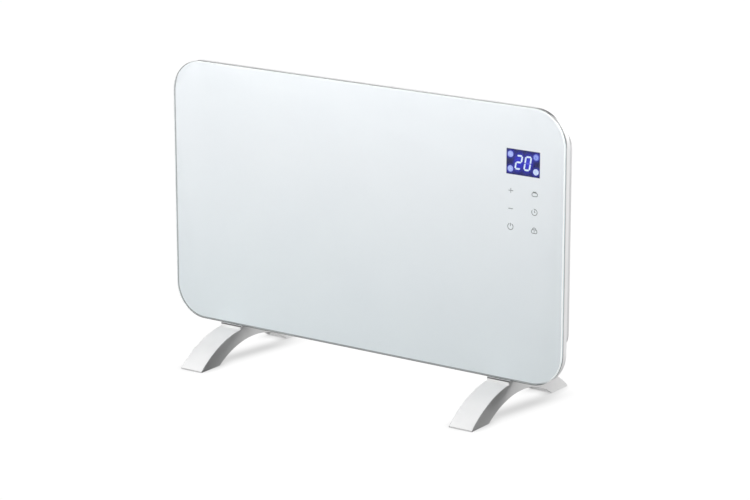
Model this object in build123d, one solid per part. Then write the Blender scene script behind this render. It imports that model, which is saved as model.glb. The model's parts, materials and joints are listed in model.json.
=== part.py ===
from build123d import *
import os
from math import cos, hypot, radians, sin, tan

# Wall panel convector heater, free standing on two arched feet.
# Frame: +X to the right of the front face, +Y to the rear, +Z up.
# The floor is z = 0, the feet are centred on y = 0 and the panel on x = 0.

# ------------------------------------------------------------------ driving dimensions, mm and degrees
# Front panel
PANEL_W = 740.0
PANEL_H = 430.0
PANEL_CORNER_R = 55.0
PANEL_LIFT = 53.0               # floor to the glass's lower edge
PANEL_FORWARD = 33.0            # middle of the feet to the glass's front face
GLASS_T = 4.0
GLASS_FRONT_CHAMFER = 1.6
GLASS_BACK_CHAMFER = 0.5
ENAMEL_T = 0.3
ENAMEL_MARGIN = 1.2             # bare rim of the glass
BEAD_T = 1.0
BEAD_W = 8.0
BEAD_INSET = 12.0               # glass edge to the rim bead
STRIP_PITCH = 180.0             # between the upright adhesive strips
STRIP_SHIFT = -30.0             # middle strip, from the panel's middle
STRIP_END_GAP = 25.0            # rim bead to a strip's end
SHEET_T = 1.0                   # tray and casing steel
TRAY_INSET = 0.5
TRAY_DEPTH = 9.5
TRAY_FOLD_R = 0.8

# Rear casing
UNIT_DEPTH = 69.0               # glass front to casing back
CASING_INSET = 34.0             # glass edge to the casing, above and below
CASING_SIDE_INSET = 27.0        # and at the sides
CASING_CORNER_R = 37.0
CASING_EDGE_R = 5.0
SLOT_W = 5.0
SLOT_PITCH = 10.0
OUTLET_SLOT_L = 42.0
OUTLET_MARGIN = 73.0            # casing side to the last slot along the top
INTAKE_MARGIN = 43.0            # foot's middle to the nearest slot along the bottom
BACK_SLOT_L = 28.0
BACK_GRILLE_SPAN = 300.0
BACK_SLOT_INSET = 35.0          # casing edge to the middle of a row of back slots
HOOK_SPACING = 400.0
HOOK_DROP = 45.0                # casing top to the hook slots
HOOK_SLOT_L = 24.0
HOOK_SLOT_W = 6.0
LOCK_SPACING = 360.0
LOCK_RISE = 31.0                # casing bottom to the lock holes
LOCK_HOLE_R = 2.6

# Casing posts and screws
POST_FLAT_R = 3.8               # hexagon across flats, halved
POST_PITCH = 160.0
POST_INSET = 14.0               # casing edge to the posts along the top and bottom
POST_CORNER_INSET = 18.0        # casing edge to the corner posts, both ways
POST_BORE_R = 2.0
POST_BORE_DEPTH = 14.0
CASING_SCREW_R = 1.9
CASING_SCREW_L = 11.0
CASING_SCREW_HEAD_R = 3.8
CASING_SCREW_HEAD_H = 2.4
CASING_HOLE_R = 2.2
HEAD_ROUNDING = 0.45            # share of a screw head's height that is rounded off
CROSS_L = 1.0                   # cross recess, as shares of the head's radius
CROSS_W = 0.25
CROSS_DEPTH = 0.5               # share of the head's height

# Printed icons and display window
CONTROL_INSET = 74.0            # panel edge to the middle of the controls
DISPLAY_DROP = 86.0             # panel top to the middle of the display
DISPLAY_W = 59.0
DISPLAY_H = 39.4
ICON_DROP = 131.0               # panel top to the first row of icons
ICON_ROW = 28.0
ICON_COLUMN = 42.0
ICON_SIZE = 10.6
ICON_LINE = 1.1
PLUS_UPRIGHT = 7.6
MINUS_L = 8.3
POWER_GAP = 3.8                 # opening at the top of the power ring
POWER_BAR_L = 5.3
POWER_BAR_RISE = 3.2
DISH_H = 6.6                    # heat icon's dish
DISH_CORNER_R = 2.8
DISH_CAP_L = 5.8
DISH_CAP_T = 1.8
TIMER_GAP = 2.6
TIMER_LONG_HAND = 2.9
TIMER_SHORT_HAND = 2.2
LOCK_BODY_H = 6.6
LOCK_CORNER_R = 2.8
LOCK_KEYHOLE_L = 2.6
LOCK_SHACKLE_R = 3.5
DIGIT_H = 23.0
DIGIT_W = 11.8
DIGIT_PITCH = 15.7
DIGIT_LINE = 2.6
DIGIT_GAP = 0.25                # between neighbouring segments
DIGIT_SLANT = 9.5
LAMP_R = 4.8                    # round indicators in the display's corners
LAMP_X = 22.4
LAMP_Z = 11.2
SYMBOL_T = 0.2

# Control unit behind the glass
CARRIER_W = 70.0
CARRIER_WALL = 1.6
CARRIER_ABOVE = 27.0            # display middle to the carrier's top
CARRIER_BELOW = 18.0            # last icon to the carrier's bottom
CARRIER_DEPTH = 20.7
CARRIER_WINDOW_GAP = 1.0        # carrier to the tray's window
TAB_L = 8.0
TAB_T = 2.0
TAB_W = 34.0
TAB_SCREW_X = 12.0              # carrier middle to a tab screw
TAB_SCREW_R = 1.4
TAB_SCREW_HEAD_R = 2.6
TAB_SCREW_HEAD_H = 1.8
HOLE_GAP = 0.1                  # screw shank to its clearance hole
DISPLAY_BEZEL = 2.5             # display module beyond its window
DISPLAY_GAP = 0.2               # display module to the carrier's aperture
BOARD_T = 1.6
BOARD_GAP = 0.4                 # control board to the carrier's walls
BOARD_STANDOFF = 10.7           # enamel to the control board
PAD_R = 4.0
PAD_HOLE_GAP = 0.8
BOSS_R = 3.0
BOSS_INSET = 4.4                # carrier's inner walls to its screw bosses
BOSS_UNDER_DISPLAY = 9.0        # display module to the upper bosses
BOARD_SCREW_R = 1.2
BOARD_SCREW_L = 6.0
BOARD_SCREW_HEAD_R = 2.4
BOARD_SCREW_HEAD_H = 1.6
PLUG_W = 10.0                   # ribbon cable plugs
PLUG_H = 7.0
PLUG_D = 5.0
RIBBON_T = 1.2
RIBBON_BEND_R = 8.0
RIBBON_BACK = 13.4              # control board's plug to the ribbon's upright run

# Heating group
COMPARTMENT_W = 119.0           # casing's right wall to the right bracket
LEFT_END_GAP = 34.0             # casing's left wall to the left bracket
BRACKET_T = 1.5
BRACKET_FLANGE = 12.0
BRACKET_MARGIN = 30.0           # beyond the outer rods, up and down
SHIELD_T = 0.8
SHIELD_STANDOFF = 11.5          # tray to the shield's back
SHIELD_EDGE = 24.0              # shield to the casing's top and bottom
SHIELD_REACH = 14.0             # shield beyond the brackets
ELEMENT_Y = 8.0
ELEMENT_RISE = 58.0             # casing's floor to the lower element
ELEMENT_SPACING = 56.0
ROD_R = 5.5
ROD_BORE_GAP = 0.1
ROD_REACH = 14.0                # rod beyond its bracket
FIN_TUBE_R = 8.0
FIN_ARM_R = 20.0
FIN_ARM_T = 2.2
FIN_ARM_ANGLE = 52.0            # arm above the horizontal, seen along the rod
FIN_TIP_L = 9.0
FIN_TIP_T = 1.8
FIN_END_GAP = 3.0               # fins to the bushings
BUSHING_R = 8.4
BUSHING_FLANGE_R = 11.0
BUSHING_FLANGE_T = 3.0
BUSHING_SLEEVE_L = 8.0
BUSHING_HOLE_GAP = 0.2
PIN_R = 1.6
PIN_L = 10.0
CUTOUT_X = -40.0
CUTOUT_RISE = 104.0             # lower element to the thermal cutout and fuse
CUTOUT_R = 8.0
CUTOUT_H = 11.4
CUTOUT_FLANGE_W = 24.0
CUTOUT_FLANGE_H = 12.0
CUTOUT_FLANGE_T = 0.8
TAG_L = 12.0                    # cutout's flat terminals
TAG_W = 6.0
TAG_T = 0.8
TAG_GAP = 8.0
FUSE_X = 30.0
FUSE_R = 2.2
FUSE_L = 14.0
FUSE_CLIP_L = 6.0
FUSE_CLIP_W = 7.4
FUSE_FIT_GAP = 0.05

# Power board and what it carries, from the casing's right wall and floor
POWER_BOARD_W = 94.0
POWER_BOARD_H = 110.0
POWER_BOARD_SIDE = 9.0
POWER_BOARD_RISE = 52.0
STANDOFF_R = 3.5
STANDOFF_L = 8.0
STANDOFF_INSET = 5.0
RELAY_W = 19.0
RELAY_D = 15.5
RELAY_H = 20.0
RELAY_INSET = 8.0               # board's left edge to the first relay
RELAY_PITCH = 24.0
RELAY_RISE = 75.0               # board's lower edge to the relays
TERMINAL_W = 40.0
TERMINAL_D = 14.0
TERMINAL_H = 12.0
TERMINAL_INSET = 12.0
TERMINAL_RISE = 6.0
TERMINAL_WAYS = 4
TERMINAL_SCREW_R = 2.2
TERMINAL_SCREW_DEPTH = 3.0
CAPACITOR_W = 18.0
CAPACITOR_D = 15.0
CAPACITOR_H = 15.0
CAPACITOR_INSET = 62.0
CAPACITOR_RISE = 10.0
CAPACITOR_EDGE_R = 1.5
PLUG_INSET = 42.0               # board's left edge to the ribbon plug
PLUG_RISE = 100.0               # board's lower edge to the ribbon plug

# Tip-over switch on the power board
TILT_INSET = 72.0               # board's left edge to the switch's middle
TILT_RISE = 84.0                # board's lower edge to the pivot
TILT_W = 24.0
TILT_WALL = 2.0
TILT_DEPTH = 27.4
TILT_ABOVE = 16.0
TILT_BELOW = 34.0
TILT_PIVOT_DEPTH = 20.4         # board to the pivot
TILT_PIN_R = 1.5
TILT_PIN_FIT = 0.02
TILT_RUN_GAP = 0.06             # pendulum bore on its pin
TILT_PIN_OVERHANG = 0.5
PENDULUM_L = 22.0
PENDULUM_HUB_R = 4.0
PENDULUM_HUB_L = 16.0
PENDULUM_ARM_W = 6.0
PENDULUM_ARM_T = 4.0
PENDULUM_WEIGHT_R = 6.0
PENDULUM_WEIGHT_L = 14.0
VANE_T = 1.6
VANE_W = 6.0
VANE_H = 11.0                   # pivot to the vane's top
SENSOR_ARM_W = 4.0
SENSOR_SLOT_W = 4.0
SENSOR_LOW = 5.0                # pivot to the optical sensor
SENSOR_H = 10.0
SENSOR_REACH = 21.0             # housing's base to the arms' front
SENSOR_BASE = 9.0

# Mains rocker switch in the casing's back
SWITCH_SIDE = 45.0              # casing's right wall to the switch
SWITCH_RISE = 30.0              # casing's floor to the switch
ROCKER_HALF_L = 10.5
ROCKER_W = 9.6
ROCKER_TILT = 11.0              # either side of the middle
ROCKER_FACE = 4.0               # pivot to the rocker's face
ROCKER_EDGE_T = 3.0
ROCKER_FOOT = 2.0
ROCKER_FOOT_HALF = 4.0
ROCKER_SIDE_GAP = 0.3
ROCKER_END_GAP = 1.3            # pocket beyond the level rocker
TRUNNION_R = 1.5
TRUNNION_GAP = 0.06
TRUNNION_END_GAP = 0.2
SWITCH_WALL = 1.2
SWITCH_PIVOT_DEPTH = 3.0        # casing's back to the rocker's pivot
SWITCH_POCKET = 9.0
SWITCH_BODY_D = 22.0
SWITCH_CUTOUT_GAP = 0.2
BEZEL_LIP = 1.9
BEZEL_T = 2.0
BEZEL_EDGE_R = 0.8
BLADE_W = 4.8
BLADE_T = 0.8
BLADE_L = 8.0
BLADE_SPACING = 12.0
BLADE_COLUMN = 6.2

# Cord inlet in the casing's back
GLAND_SIDE = 89.0               # casing's right wall to the gland
GLAND_RISE = 24.0               # casing's floor to the gland
GLAND_BORE_R = 3.75
GLAND_STEM_R = 6.8
GLAND_STEM_L = 11.0
GLAND_FLANGE_R = 9.0
GLAND_FLANGE_T = 3.0
GLAND_SNOUT_L = 11.0
GLAND_SNOUT_R = 7.6
GLAND_SNOUT_TIP_R = 6.2
GLAND_HOLE_GAP = 0.2
GLAND_NUT_FLAT_R = 9.0
GLAND_NUT_T = 5.0
GLAND_NUT_GAP = 0.05

# Room temperature sensor on the casing's floor
ROOM_SENSOR_SIDE = 45.0         # casing's right wall to the sensor
ROOM_SENSOR_Y = -9.0
ROOM_SENSOR_R = 2.5
ROOM_SENSOR_L = 18.0
ROOM_SENSOR_FIT = 0.05
CLIP_L = 8.0
CLIP_W = 10.0
CLIP_H = 9.0
CLIP_AXIS = 5.0                 # floor to the sensor's axis

# Feet
FOOT_INSET = 112.0              # panel edge to a foot's middle
FOOT_W = 42.0
FOOT_L = 278.0
FOOT_TOE_H = 2.2
FOOT_TOP_H = 47.4               # floor to the arch's top face
FOOT_BACK_R = 178.0             # convex upper curve
ARCH_SPAN = 186.0
ARCH_H = 29.5
SADDLE_GAP = 0.5                # saddle to the glass's lower edge
SADDLE_CORNER_R = 3.5
SADDLE_OVERHANG = 1.5           # saddle in front of the glass
COLUMN_FRONT_GAP = 1.4          # front tray to the foot's column
COLUMN_BACK_INSET = 5.5
COLUMN_SIDE_INSET = 3.0
FOOT_EDGE_R = 1.2
FOOT_WALL = 3.5
COLUMN_TOP_T = 4.0
RIB_T = 3.0
RIB_PLACES = (36.0, 62.0)       # foot's middle to its ribs, both ways
TOE_BLOCK_L = 50.0              # solid ends of the foot
FOOT_SCREW_Y = (-8.0, 18.0)
FOOT_SCREW_R = 1.85
FOOT_SCREW_L = 13.0
FOOT_SCREW_HEAD_R = 4.0
FOOT_SCREW_HEAD_H = 2.6
FOOT_SCREW_HOLE_R = 2.0
NUT_PLATE_W = 36.0
NUT_PLATE_L = 42.0
NUT_PLATE_T = 3.0
SOLE_W = 32.0
SOLE_L = 34.0
SOLE_T = 2.0
SOLE_PROUD = 0.8
SOLE_END_INSET = 6.0            # toe tip to the sole pad
SOLE_CORNER_R = 3.0

# Internal leads
LEAD_R = 1.2
LEAD_BEND_R = 4.0
LEAD_WIDE_R = 8.0
LEAD_EASE_R = 12.0
LEAD_SIDE_GAP = 5.0             # rod pins to the left jumper
LEAD_RISE = 24.0                # pin to the start of the slant towards the cutout
LEAD_CROSS_RISE = 20.0          # terminal block to the feed lead's level run
LEAD_SLANT_RISE = 20.0          # lower pins to the start of the slant towards the relay
LEAD_SLANT_DROP = 24.0          # relay to the end of that slant
LEAD_REACH = 8.0                # switch's blade to the lead's first corner

# ------------------------------------------------------------------ places worked out from them
PANEL_X = PANEL_W / 2
PANEL_TOP = PANEL_LIFT + PANEL_H
PANEL_MID = PANEL_LIFT + PANEL_H / 2
Y_GLASS = -PANEL_FORWARD
Y_ENAMEL = Y_GLASS + GLASS_T
Y_BEAD = Y_ENAMEL + ENAMEL_T
Y_TRAY = Y_BEAD + BEAD_T
Y_CASING = Y_TRAY + SHEET_T
Y_TRAY_END = Y_TRAY + TRAY_DEPTH
Y_BACK = Y_GLASS + UNIT_DEPTH
Y_BACK_IN = Y_BACK - SHEET_T

CASING_X = PANEL_X - CASING_SIDE_INSET
CASING_LOW = PANEL_LIFT + CASING_INSET
CASING_TOP = PANEL_TOP - CASING_INSET
CASING_W = 2 * CASING_X
CASING_H = CASING_TOP - CASING_LOW
WALL_X = CASING_X - SHEET_T
FLOOR_Z = CASING_LOW + SHEET_T

CONTROL_X = PANEL_X - CONTROL_INSET
DISPLAY_Z = PANEL_TOP - DISPLAY_DROP
ICON_Z = [PANEL_TOP - ICON_DROP - row * ICON_ROW for row in range(3)]
ICON_X = [CONTROL_X - ICON_COLUMN / 2, CONTROL_X + ICON_COLUMN / 2]
CARRIER_LOW = ICON_Z[-1] - CARRIER_BELOW
CARRIER_TOP = DISPLAY_Z + CARRIER_ABOVE
CARRIER_MID = (CARRIER_LOW + CARRIER_TOP) / 2
MODULE_W = DISPLAY_W + 2 * DISPLAY_BEZEL
MODULE_H = DISPLAY_H + 2 * DISPLAY_BEZEL
Y_CONTROL_BOARD = Y_BEAD + BOARD_STANDOFF
BOSS_X = CARRIER_W / 2 - CARRIER_WALL - BOSS_INSET
BOSS_Z = [CARRIER_LOW + CARRIER_WALL + BOSS_INSET, DISPLAY_Z - MODULE_H / 2 - BOSS_UNDER_DISPLAY]

Y_SHIELD = Y_CASING + SHIELD_STANDOFF
LEFT_WEB = -WALL_X + LEFT_END_GAP
RIGHT_WEB = WALL_X - COMPARTMENT_W
ROD_Z = [FLOOR_Z + ELEMENT_RISE, FLOOR_Z + ELEMENT_RISE + ELEMENT_SPACING]
BRACKET_LOW = ROD_Z[0] - BRACKET_MARGIN
BRACKET_TOP = ROD_Z[1] + BRACKET_MARGIN
ROD_BORE_R = ROD_R + ROD_BORE_GAP
CUTOUT_Z = ROD_Z[0] + CUTOUT_RISE
Y_TAG = Y_SHIELD + CUTOUT_FLANGE_T + CUTOUT_H + TAG_T / 2

Y_POWER_BOARD = Y_BACK_IN - STANDOFF_L - BOARD_T
BOARD_X1 = WALL_X - POWER_BOARD_SIDE
BOARD_X0 = BOARD_X1 - POWER_BOARD_W
BOARD_Z0 = FLOOR_Z + POWER_BOARD_RISE
BOARD_Z1 = BOARD_Z0 + POWER_BOARD_H
PLUG_X = BOARD_X0 + PLUG_INSET + PLUG_W / 2
TILT_X = BOARD_X0 + TILT_INSET
TILT_Z = BOARD_Z0 + TILT_RISE
TILT_Y = Y_POWER_BOARD - TILT_PIVOT_DEPTH

SWITCH_X = WALL_X - SWITCH_SIDE
SWITCH_Z = FLOOR_Z + SWITCH_RISE
SWITCH_Y = Y_BACK - SWITCH_PIVOT_DEPTH
POCKET_X = ROCKER_W / 2 + ROCKER_SIDE_GAP
POCKET_Z = ROCKER_HALF_L + ROCKER_END_GAP
BODY_X = POCKET_X + SWITCH_WALL
BODY_Z = POCKET_Z + SWITCH_WALL
GLAND_X = WALL_X - GLAND_SIDE
GLAND_Z = FLOOR_Z + GLAND_RISE

FOOT_X = PANEL_X - FOOT_INSET
SADDLE_TOP = PANEL_LIFT - SADDLE_GAP
SADDLE_Y = PANEL_FORWARD + SADDLE_OVERHANG
COLUMN_Y0 = Y_TRAY_END + COLUMN_FRONT_GAP
COLUMN_Y1 = Y_BACK - COLUMN_BACK_INSET
SOLE_Z = SOLE_PROUD
FOOT_SCREW_SEAT = CASING_LOW - COLUMN_TOP_T


# ------------------------------------------------------------------ building blocks
def along_x(profile, x0, x1):
    """A (y, z) profile carried from x0 to x1."""
    return extrude(Plane.YZ.offset(x0) * profile, amount=x1 - x0)


def along_y(profile, y0, y1):
    """An (x, z) profile carried from y0 to y1."""
    return extrude(Plane.XZ.offset(-y1) * profile, amount=y1 - y0)


def along_z(profile, z0, z1):
    """An (x, y) profile carried from z0 to z1."""
    return extrude(Plane.XY.offset(z0) * profile, amount=z1 - z0)


def block(x0, x1, y0, y1, z0, z1):
    """A box between two corners."""
    return Pos((x0 + x1) / 2, (y0 + y1) / 2, (z0 + z1) / 2) * Box(x1 - x0, y1 - y0, z1 - z0)


def group(parts):
    """Separate solids that share one node."""
    return Compound(children=[solid for part in parts for solid in part.solids()])


def rod_x(radius, x0, x1, y, z):
    """A round bar along X."""
    return along_x(Pos(y, z) * Circle(radius), x0, x1)


def rod_y(radius, y0, y1, x, z):
    """A round bar along Y."""
    return along_y(Pos(x, z) * Circle(radius), y0, y1)


def rod_z(radius, z0, z1, x, y):
    """A round bar along Z."""
    return along_z(Pos(x, y) * Circle(radius), z0, z1)


def panel_outline(inset, corner_r):
    """The panel's rounded outline, drawn in by an inset."""
    return Pos(0, PANEL_MID) * RectangleRounded(PANEL_W - 2 * inset, PANEL_H - 2 * inset, corner_r)


def screw(shank_r, shank_l, head_r, head_h):
    """A pan-head screw, head up from z = 0 and shank down, with a cross recess."""
    head = along_z(Circle(head_r), 0, head_h)
    rim = head.edges().filter_by(GeomType.CIRCLE).sort_by(Axis.Z)[-1]
    head = fillet(rim, head_h * HEAD_ROUNDING)
    long, short = head_r * CROSS_L, head_r * CROSS_W
    cross = Rectangle(long, short) + Rectangle(short, long)
    return head + along_z(Circle(shank_r), -shank_l, 0) - along_z(cross, head_h * (1 - CROSS_DEPTH), head_h)


def rear_screw(x, y, z, *sizes):
    """A screw driven in from the rear, its head seated at y."""
    return Pos(x, y, z) * Rot(-90, 0, 0) * screw(*sizes)


def front_screw(x, y, z, *sizes):
    """A screw driven in from the front, its head seated at y."""
    return Pos(x, y, z) * Rot(90, 0, 0) * screw(*sizes)


# ------------------------------------------------------------------ front unit
def plus_icon():
    return minus_icon() + Rectangle(ICON_LINE, PLUS_UPRIGHT)


def minus_icon():
    return Rectangle(MINUS_L, ICON_LINE)


def ring(radius):
    """A drawn circle of the icons' line width."""
    return Circle(radius) - Circle(radius - ICON_LINE)


def drawn_box(height, corner_r):
    """A rounded box drawn in the icons' line width."""
    hollow = RectangleRounded(ICON_SIZE - 2 * ICON_LINE, height - 2 * ICON_LINE, corner_r - ICON_LINE)
    return RectangleRounded(ICON_SIZE, height, corner_r) - hollow


def power_icon():
    gap = Pos(0, ICON_SIZE / 2) * Rectangle(POWER_GAP, ICON_SIZE)
    bar = Pos(0, POWER_BAR_RISE) * Rectangle(ICON_LINE, POWER_BAR_L)
    return ring(ICON_SIZE / 2) - gap + bar


def heat_icon():
    """A heater's dish with a short cap over it."""
    cap = Pos(0, (DISH_H + DISH_CAP_T) / 2 - ICON_LINE / 2) * Rectangle(DISH_CAP_L, DISH_CAP_T)
    return Pos(0, -DISH_CAP_T / 2) * (drawn_box(DISH_H, DISH_CORNER_R) + cap)


def timer_icon():
    """A clock with its two hands and a gap at the upper left."""
    radius = ICON_SIZE / 2
    gap = Pos(-TIMER_GAP, radius) * Rectangle(TIMER_GAP, radius)
    long_hand = Pos(0, TIMER_LONG_HAND / 2) * Rectangle(ICON_LINE, TIMER_LONG_HAND)
    short_hand = Pos((TIMER_SHORT_HAND - ICON_LINE) / 2, 0) * Rectangle(TIMER_SHORT_HAND, ICON_LINE)
    return ring(radius) - gap + long_hand + short_hand


def lock_icon():
    """A padlock: a round body with a keyhole bar, and its shackle."""
    upper_half = Pos(0, ICON_SIZE / 2) * Rectangle(ICON_SIZE, ICON_SIZE)
    shackle = Pos(0, (LOCK_BODY_H - ICON_LINE) / 2) * (ring(LOCK_SHACKLE_R) & upper_half)
    body = drawn_box(LOCK_BODY_H, LOCK_CORNER_R) + Rectangle(ICON_LINE, LOCK_KEYHOLE_L)
    return Pos(0, -LOCK_SHACKLE_R / 2) * (body + shackle)


def icon_sketches():
    """Every icon at its place, in two columns."""
    columns = [[plus_icon, minus_icon, power_icon], [heat_icon, timer_icon, lock_icon]]
    return [Pos(x, z) * draw() for x, column in zip(ICON_X, columns) for z, draw in zip(ICON_Z, column)]


def glass_panel():
    """Toughened pane with a ground chamfer on both faces."""
    pane = along_y(panel_outline(0, PANEL_CORNER_R), Y_GLASS, Y_ENAMEL)
    front, *_, back = pane.faces().sort_by(Axis.Y)
    pane = chamfer(front.edges(), GLASS_FRONT_CHAMFER)
    back = pane.faces().sort_by(Axis.Y)[-1]
    return chamfer(back.edges(), GLASS_BACK_CHAMFER)


def icon_print():
    """Grey ink of the six touch icons, on the back of the glass."""
    return group([along_y(icon, Y_ENAMEL, Y_BEAD) for icon in icon_sketches()])


def enamel_print():
    """White enamel on the back of the glass, open at the display and at the icons."""
    outline = panel_outline(ENAMEL_MARGIN, PANEL_CORNER_R - ENAMEL_MARGIN)
    window = Pos(CONTROL_X, DISPLAY_Z) * Rectangle(DISPLAY_W, DISPLAY_H)
    layer = along_y(outline - window, Y_ENAMEL, Y_BEAD)
    return group([layer - [along_y(icon, Y_ENAMEL, Y_BEAD) for icon in icon_sketches()]])


def glass_adhesive():
    """Silicone bead round the rim and upright strips between glass and tray."""
    inner = BEAD_INSET + BEAD_W
    rim = panel_outline(BEAD_INSET, PANEL_CORNER_R - BEAD_INSET)
    rim -= panel_outline(inner, PANEL_CORNER_R - inner)
    height = PANEL_H - 2 * (inner + STRIP_END_GAP)
    strips = [Pos(STRIP_SHIFT + step * STRIP_PITCH, PANEL_MID) * SlotOverall(height, BEAD_W, rotation=90)
              for step in (-1, 0, 1)]
    return group([along_y(shape, Y_BEAD, Y_TRAY) for shape in [rim, *strips]])


def tab_screw_places():
    """The four screws that hold the control carrier to the tray."""
    return [(CONTROL_X + side * TAB_SCREW_X, z) for side in (-1, 1)
            for z in (CARRIER_LOW - TAB_L / 2, CARRIER_TOP + TAB_L / 2)]


def front_tray():
    """Shallow steel pan behind the glass, its rim folded to the rear."""
    outer = along_y(panel_outline(TRAY_INSET, PANEL_CORNER_R - TRAY_INSET), Y_TRAY, Y_TRAY_END)
    outer = fillet(outer.faces().sort_by(Axis.Y)[0].edges(), TRAY_FOLD_R)
    inset = TRAY_INSET + SHEET_T
    hollow = along_y(panel_outline(inset, PANEL_CORNER_R - inset), Y_CASING, Y_TRAY_END)
    window = Pos(CONTROL_X, CARRIER_MID) * Rectangle(
        CARRIER_W + 2 * CARRIER_WINDOW_GAP, CARRIER_TOP - CARRIER_LOW + 2 * CARRIER_WINDOW_GAP)
    holes = [rod_y(TAB_SCREW_R + HOLE_GAP, Y_TRAY, Y_CASING, x, z) for x, z in tab_screw_places()]
    return outer - hollow - along_y(window, Y_TRAY, Y_CASING) - holes


# ------------------------------------------------------------------ rear casing
def post_places():
    """Screw posts at the casing's corners and along its top and bottom."""
    corner_x = CASING_X - POST_CORNER_INSET
    corners = [(side * corner_x, z) for side in (-1, 1)
               for z in (CASING_LOW + POST_CORNER_INSET, CASING_TOP - POST_CORNER_INSET)]
    rows = [(step * POST_PITCH, z) for step in (-1, 0, 1)
            for z in (CASING_LOW + POST_INSET, CASING_TOP - POST_INSET)]
    return corners + rows


def slot_places(span):
    """Evenly pitched places over a span, centred on x = 0."""
    gaps = round(span / SLOT_PITCH)
    return [(step - gaps / 2) * SLOT_PITCH for step in range(gaps + 1)]


def casing_openings():
    """Air slots, hook slots, lock holes, screw holes and the cut-outs for switch and gland."""
    mid_y = (Y_CASING + Y_BACK - CASING_EDGE_R) / 2
    air_slot = SlotOverall(OUTLET_SLOT_L, SLOT_W, rotation=90)
    back_slot = SlotOverall(BACK_SLOT_L, SLOT_W, rotation=90)
    hook_slot = SlotOverall(HOOK_SLOT_L, HOOK_SLOT_W)
    ceiling = CASING_TOP - SHEET_T
    outlet_span, intake_span = 2 * (CASING_X - OUTLET_MARGIN), 2 * (FOOT_X - INTAKE_MARGIN)
    cuts = [along_z(Pos(x, mid_y) * air_slot, ceiling, CASING_TOP) for x in slot_places(outlet_span)]
    cuts += [along_z(Pos(x, mid_y) * air_slot, CASING_LOW, FLOOR_Z) for x in slot_places(intake_span)]
    for z in (CASING_LOW + BACK_SLOT_INSET, CASING_TOP - BACK_SLOT_INSET):
        cuts += [along_y(Pos(x, z) * back_slot, Y_BACK_IN, Y_BACK) for x in slot_places(BACK_GRILLE_SPAN)]
    for side in (-1, 1):
        hook = Pos(side * HOOK_SPACING / 2, CASING_TOP - HOOK_DROP) * hook_slot
        cuts.append(along_y(hook, Y_BACK_IN, Y_BACK))
        cuts.append(rod_y(LOCK_HOLE_R, Y_BACK_IN, Y_BACK, side * LOCK_SPACING / 2, CASING_LOW + LOCK_RISE))
        cuts += [rod_z(FOOT_SCREW_HOLE_R, CASING_LOW, FLOOR_Z, side * FOOT_X, y) for y in FOOT_SCREW_Y]
    cuts += [rod_y(CASING_HOLE_R, Y_BACK_IN, Y_BACK, x, z) for x, z in post_places()]
    cuts.append(rod_y(GLAND_STEM_R + GLAND_HOLE_GAP, Y_BACK_IN, Y_BACK, GLAND_X, GLAND_Z))
    cutout_x = BODY_X + SWITCH_CUTOUT_GAP
    cutout_z = BODY_Z + SWITCH_CUTOUT_GAP
    cuts.append(block(SWITCH_X - cutout_x, SWITCH_X + cutout_x, Y_BACK_IN, Y_BACK,
                      SWITCH_Z - cutout_z, SWITCH_Z + cutout_z))
    return cuts


def rear_casing():
    """Deep steel shell with a rounded rear edge, closed by the tray in front."""
    outline = Pos(0, PANEL_MID) * RectangleRounded(CASING_W, CASING_H, CASING_CORNER_R)
    outer = along_y(outline, Y_CASING, Y_BACK)
    outer = fillet(outer.faces().sort_by(Axis.Y)[-1].edges(), CASING_EDGE_R)
    inline = Pos(0, PANEL_MID) * RectangleRounded(
        CASING_W - 2 * SHEET_T, CASING_H - 2 * SHEET_T, CASING_CORNER_R - SHEET_T)
    hollow = along_y(inline, Y_CASING, Y_BACK_IN)
    hollow = fillet(hollow.faces().sort_by(Axis.Y)[-1].edges(), CASING_EDGE_R - SHEET_T)
    return outer - hollow - casing_openings()


def casing_posts():
    """Hexagon posts from the tray to the casing's back, tapped at the rear."""
    bore_start = Y_BACK_IN - POST_BORE_DEPTH
    posts = []
    for x, z in post_places():
        hexagon = Pos(x, z) * RegularPolygon(POST_FLAT_R, 6, major_radius=False)
        posts.append(along_y(hexagon, Y_CASING, Y_BACK_IN) - rod_y(POST_BORE_R, bore_start, Y_BACK_IN, x, z))
    return group(posts)


def casing_screws():
    """Screws through the casing's back into the posts."""
    sizes = (CASING_SCREW_R, CASING_SCREW_L, CASING_SCREW_HEAD_R, CASING_SCREW_HEAD_H)
    return group([rear_screw(x, Y_BACK, z, *sizes) for x, z in post_places()])


# ------------------------------------------------------------------ controls behind the glass
def segment(start, end):
    """One display segment: a bar with pointed ends, slanted with the digit."""
    half = DIGIT_LINE / 2
    length = hypot(end[0] - start[0], end[1] - start[1])
    ux, uz = (end[0] - start[0]) / length, (end[1] - start[1]) / length
    outline = [(DIGIT_GAP, 0), (DIGIT_GAP + half, half), (length - DIGIT_GAP - half, half),
               (length - DIGIT_GAP, 0), (length - DIGIT_GAP - half, -half), (DIGIT_GAP + half, -half)]
    points = [(start[0] + a * ux - b * uz, start[1] + a * uz + b * ux) for a, b in outline]
    slant = tan(radians(DIGIT_SLANT))
    return make_face(Polyline(*[(x + z * slant, z) for x, z in points], close=True))


def digit(names):
    """A seven-segment digit from the names of its lit segments."""
    right, top = (DIGIT_W - DIGIT_LINE) / 2, (DIGIT_H - DIGIT_LINE) / 2
    ends = {"a": ((-right, top), (right, top)), "b": ((right, 0), (right, top)),
            "c": ((right, -top), (right, 0)), "d": ((-right, -top), (right, -top)),
            "e": ((-right, -top), (-right, 0)), "f": ((-right, 0), (-right, top)),
            "g": ((-right, 0), (right, 0))}
    return [segment(*ends[name]) for name in names]


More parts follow.
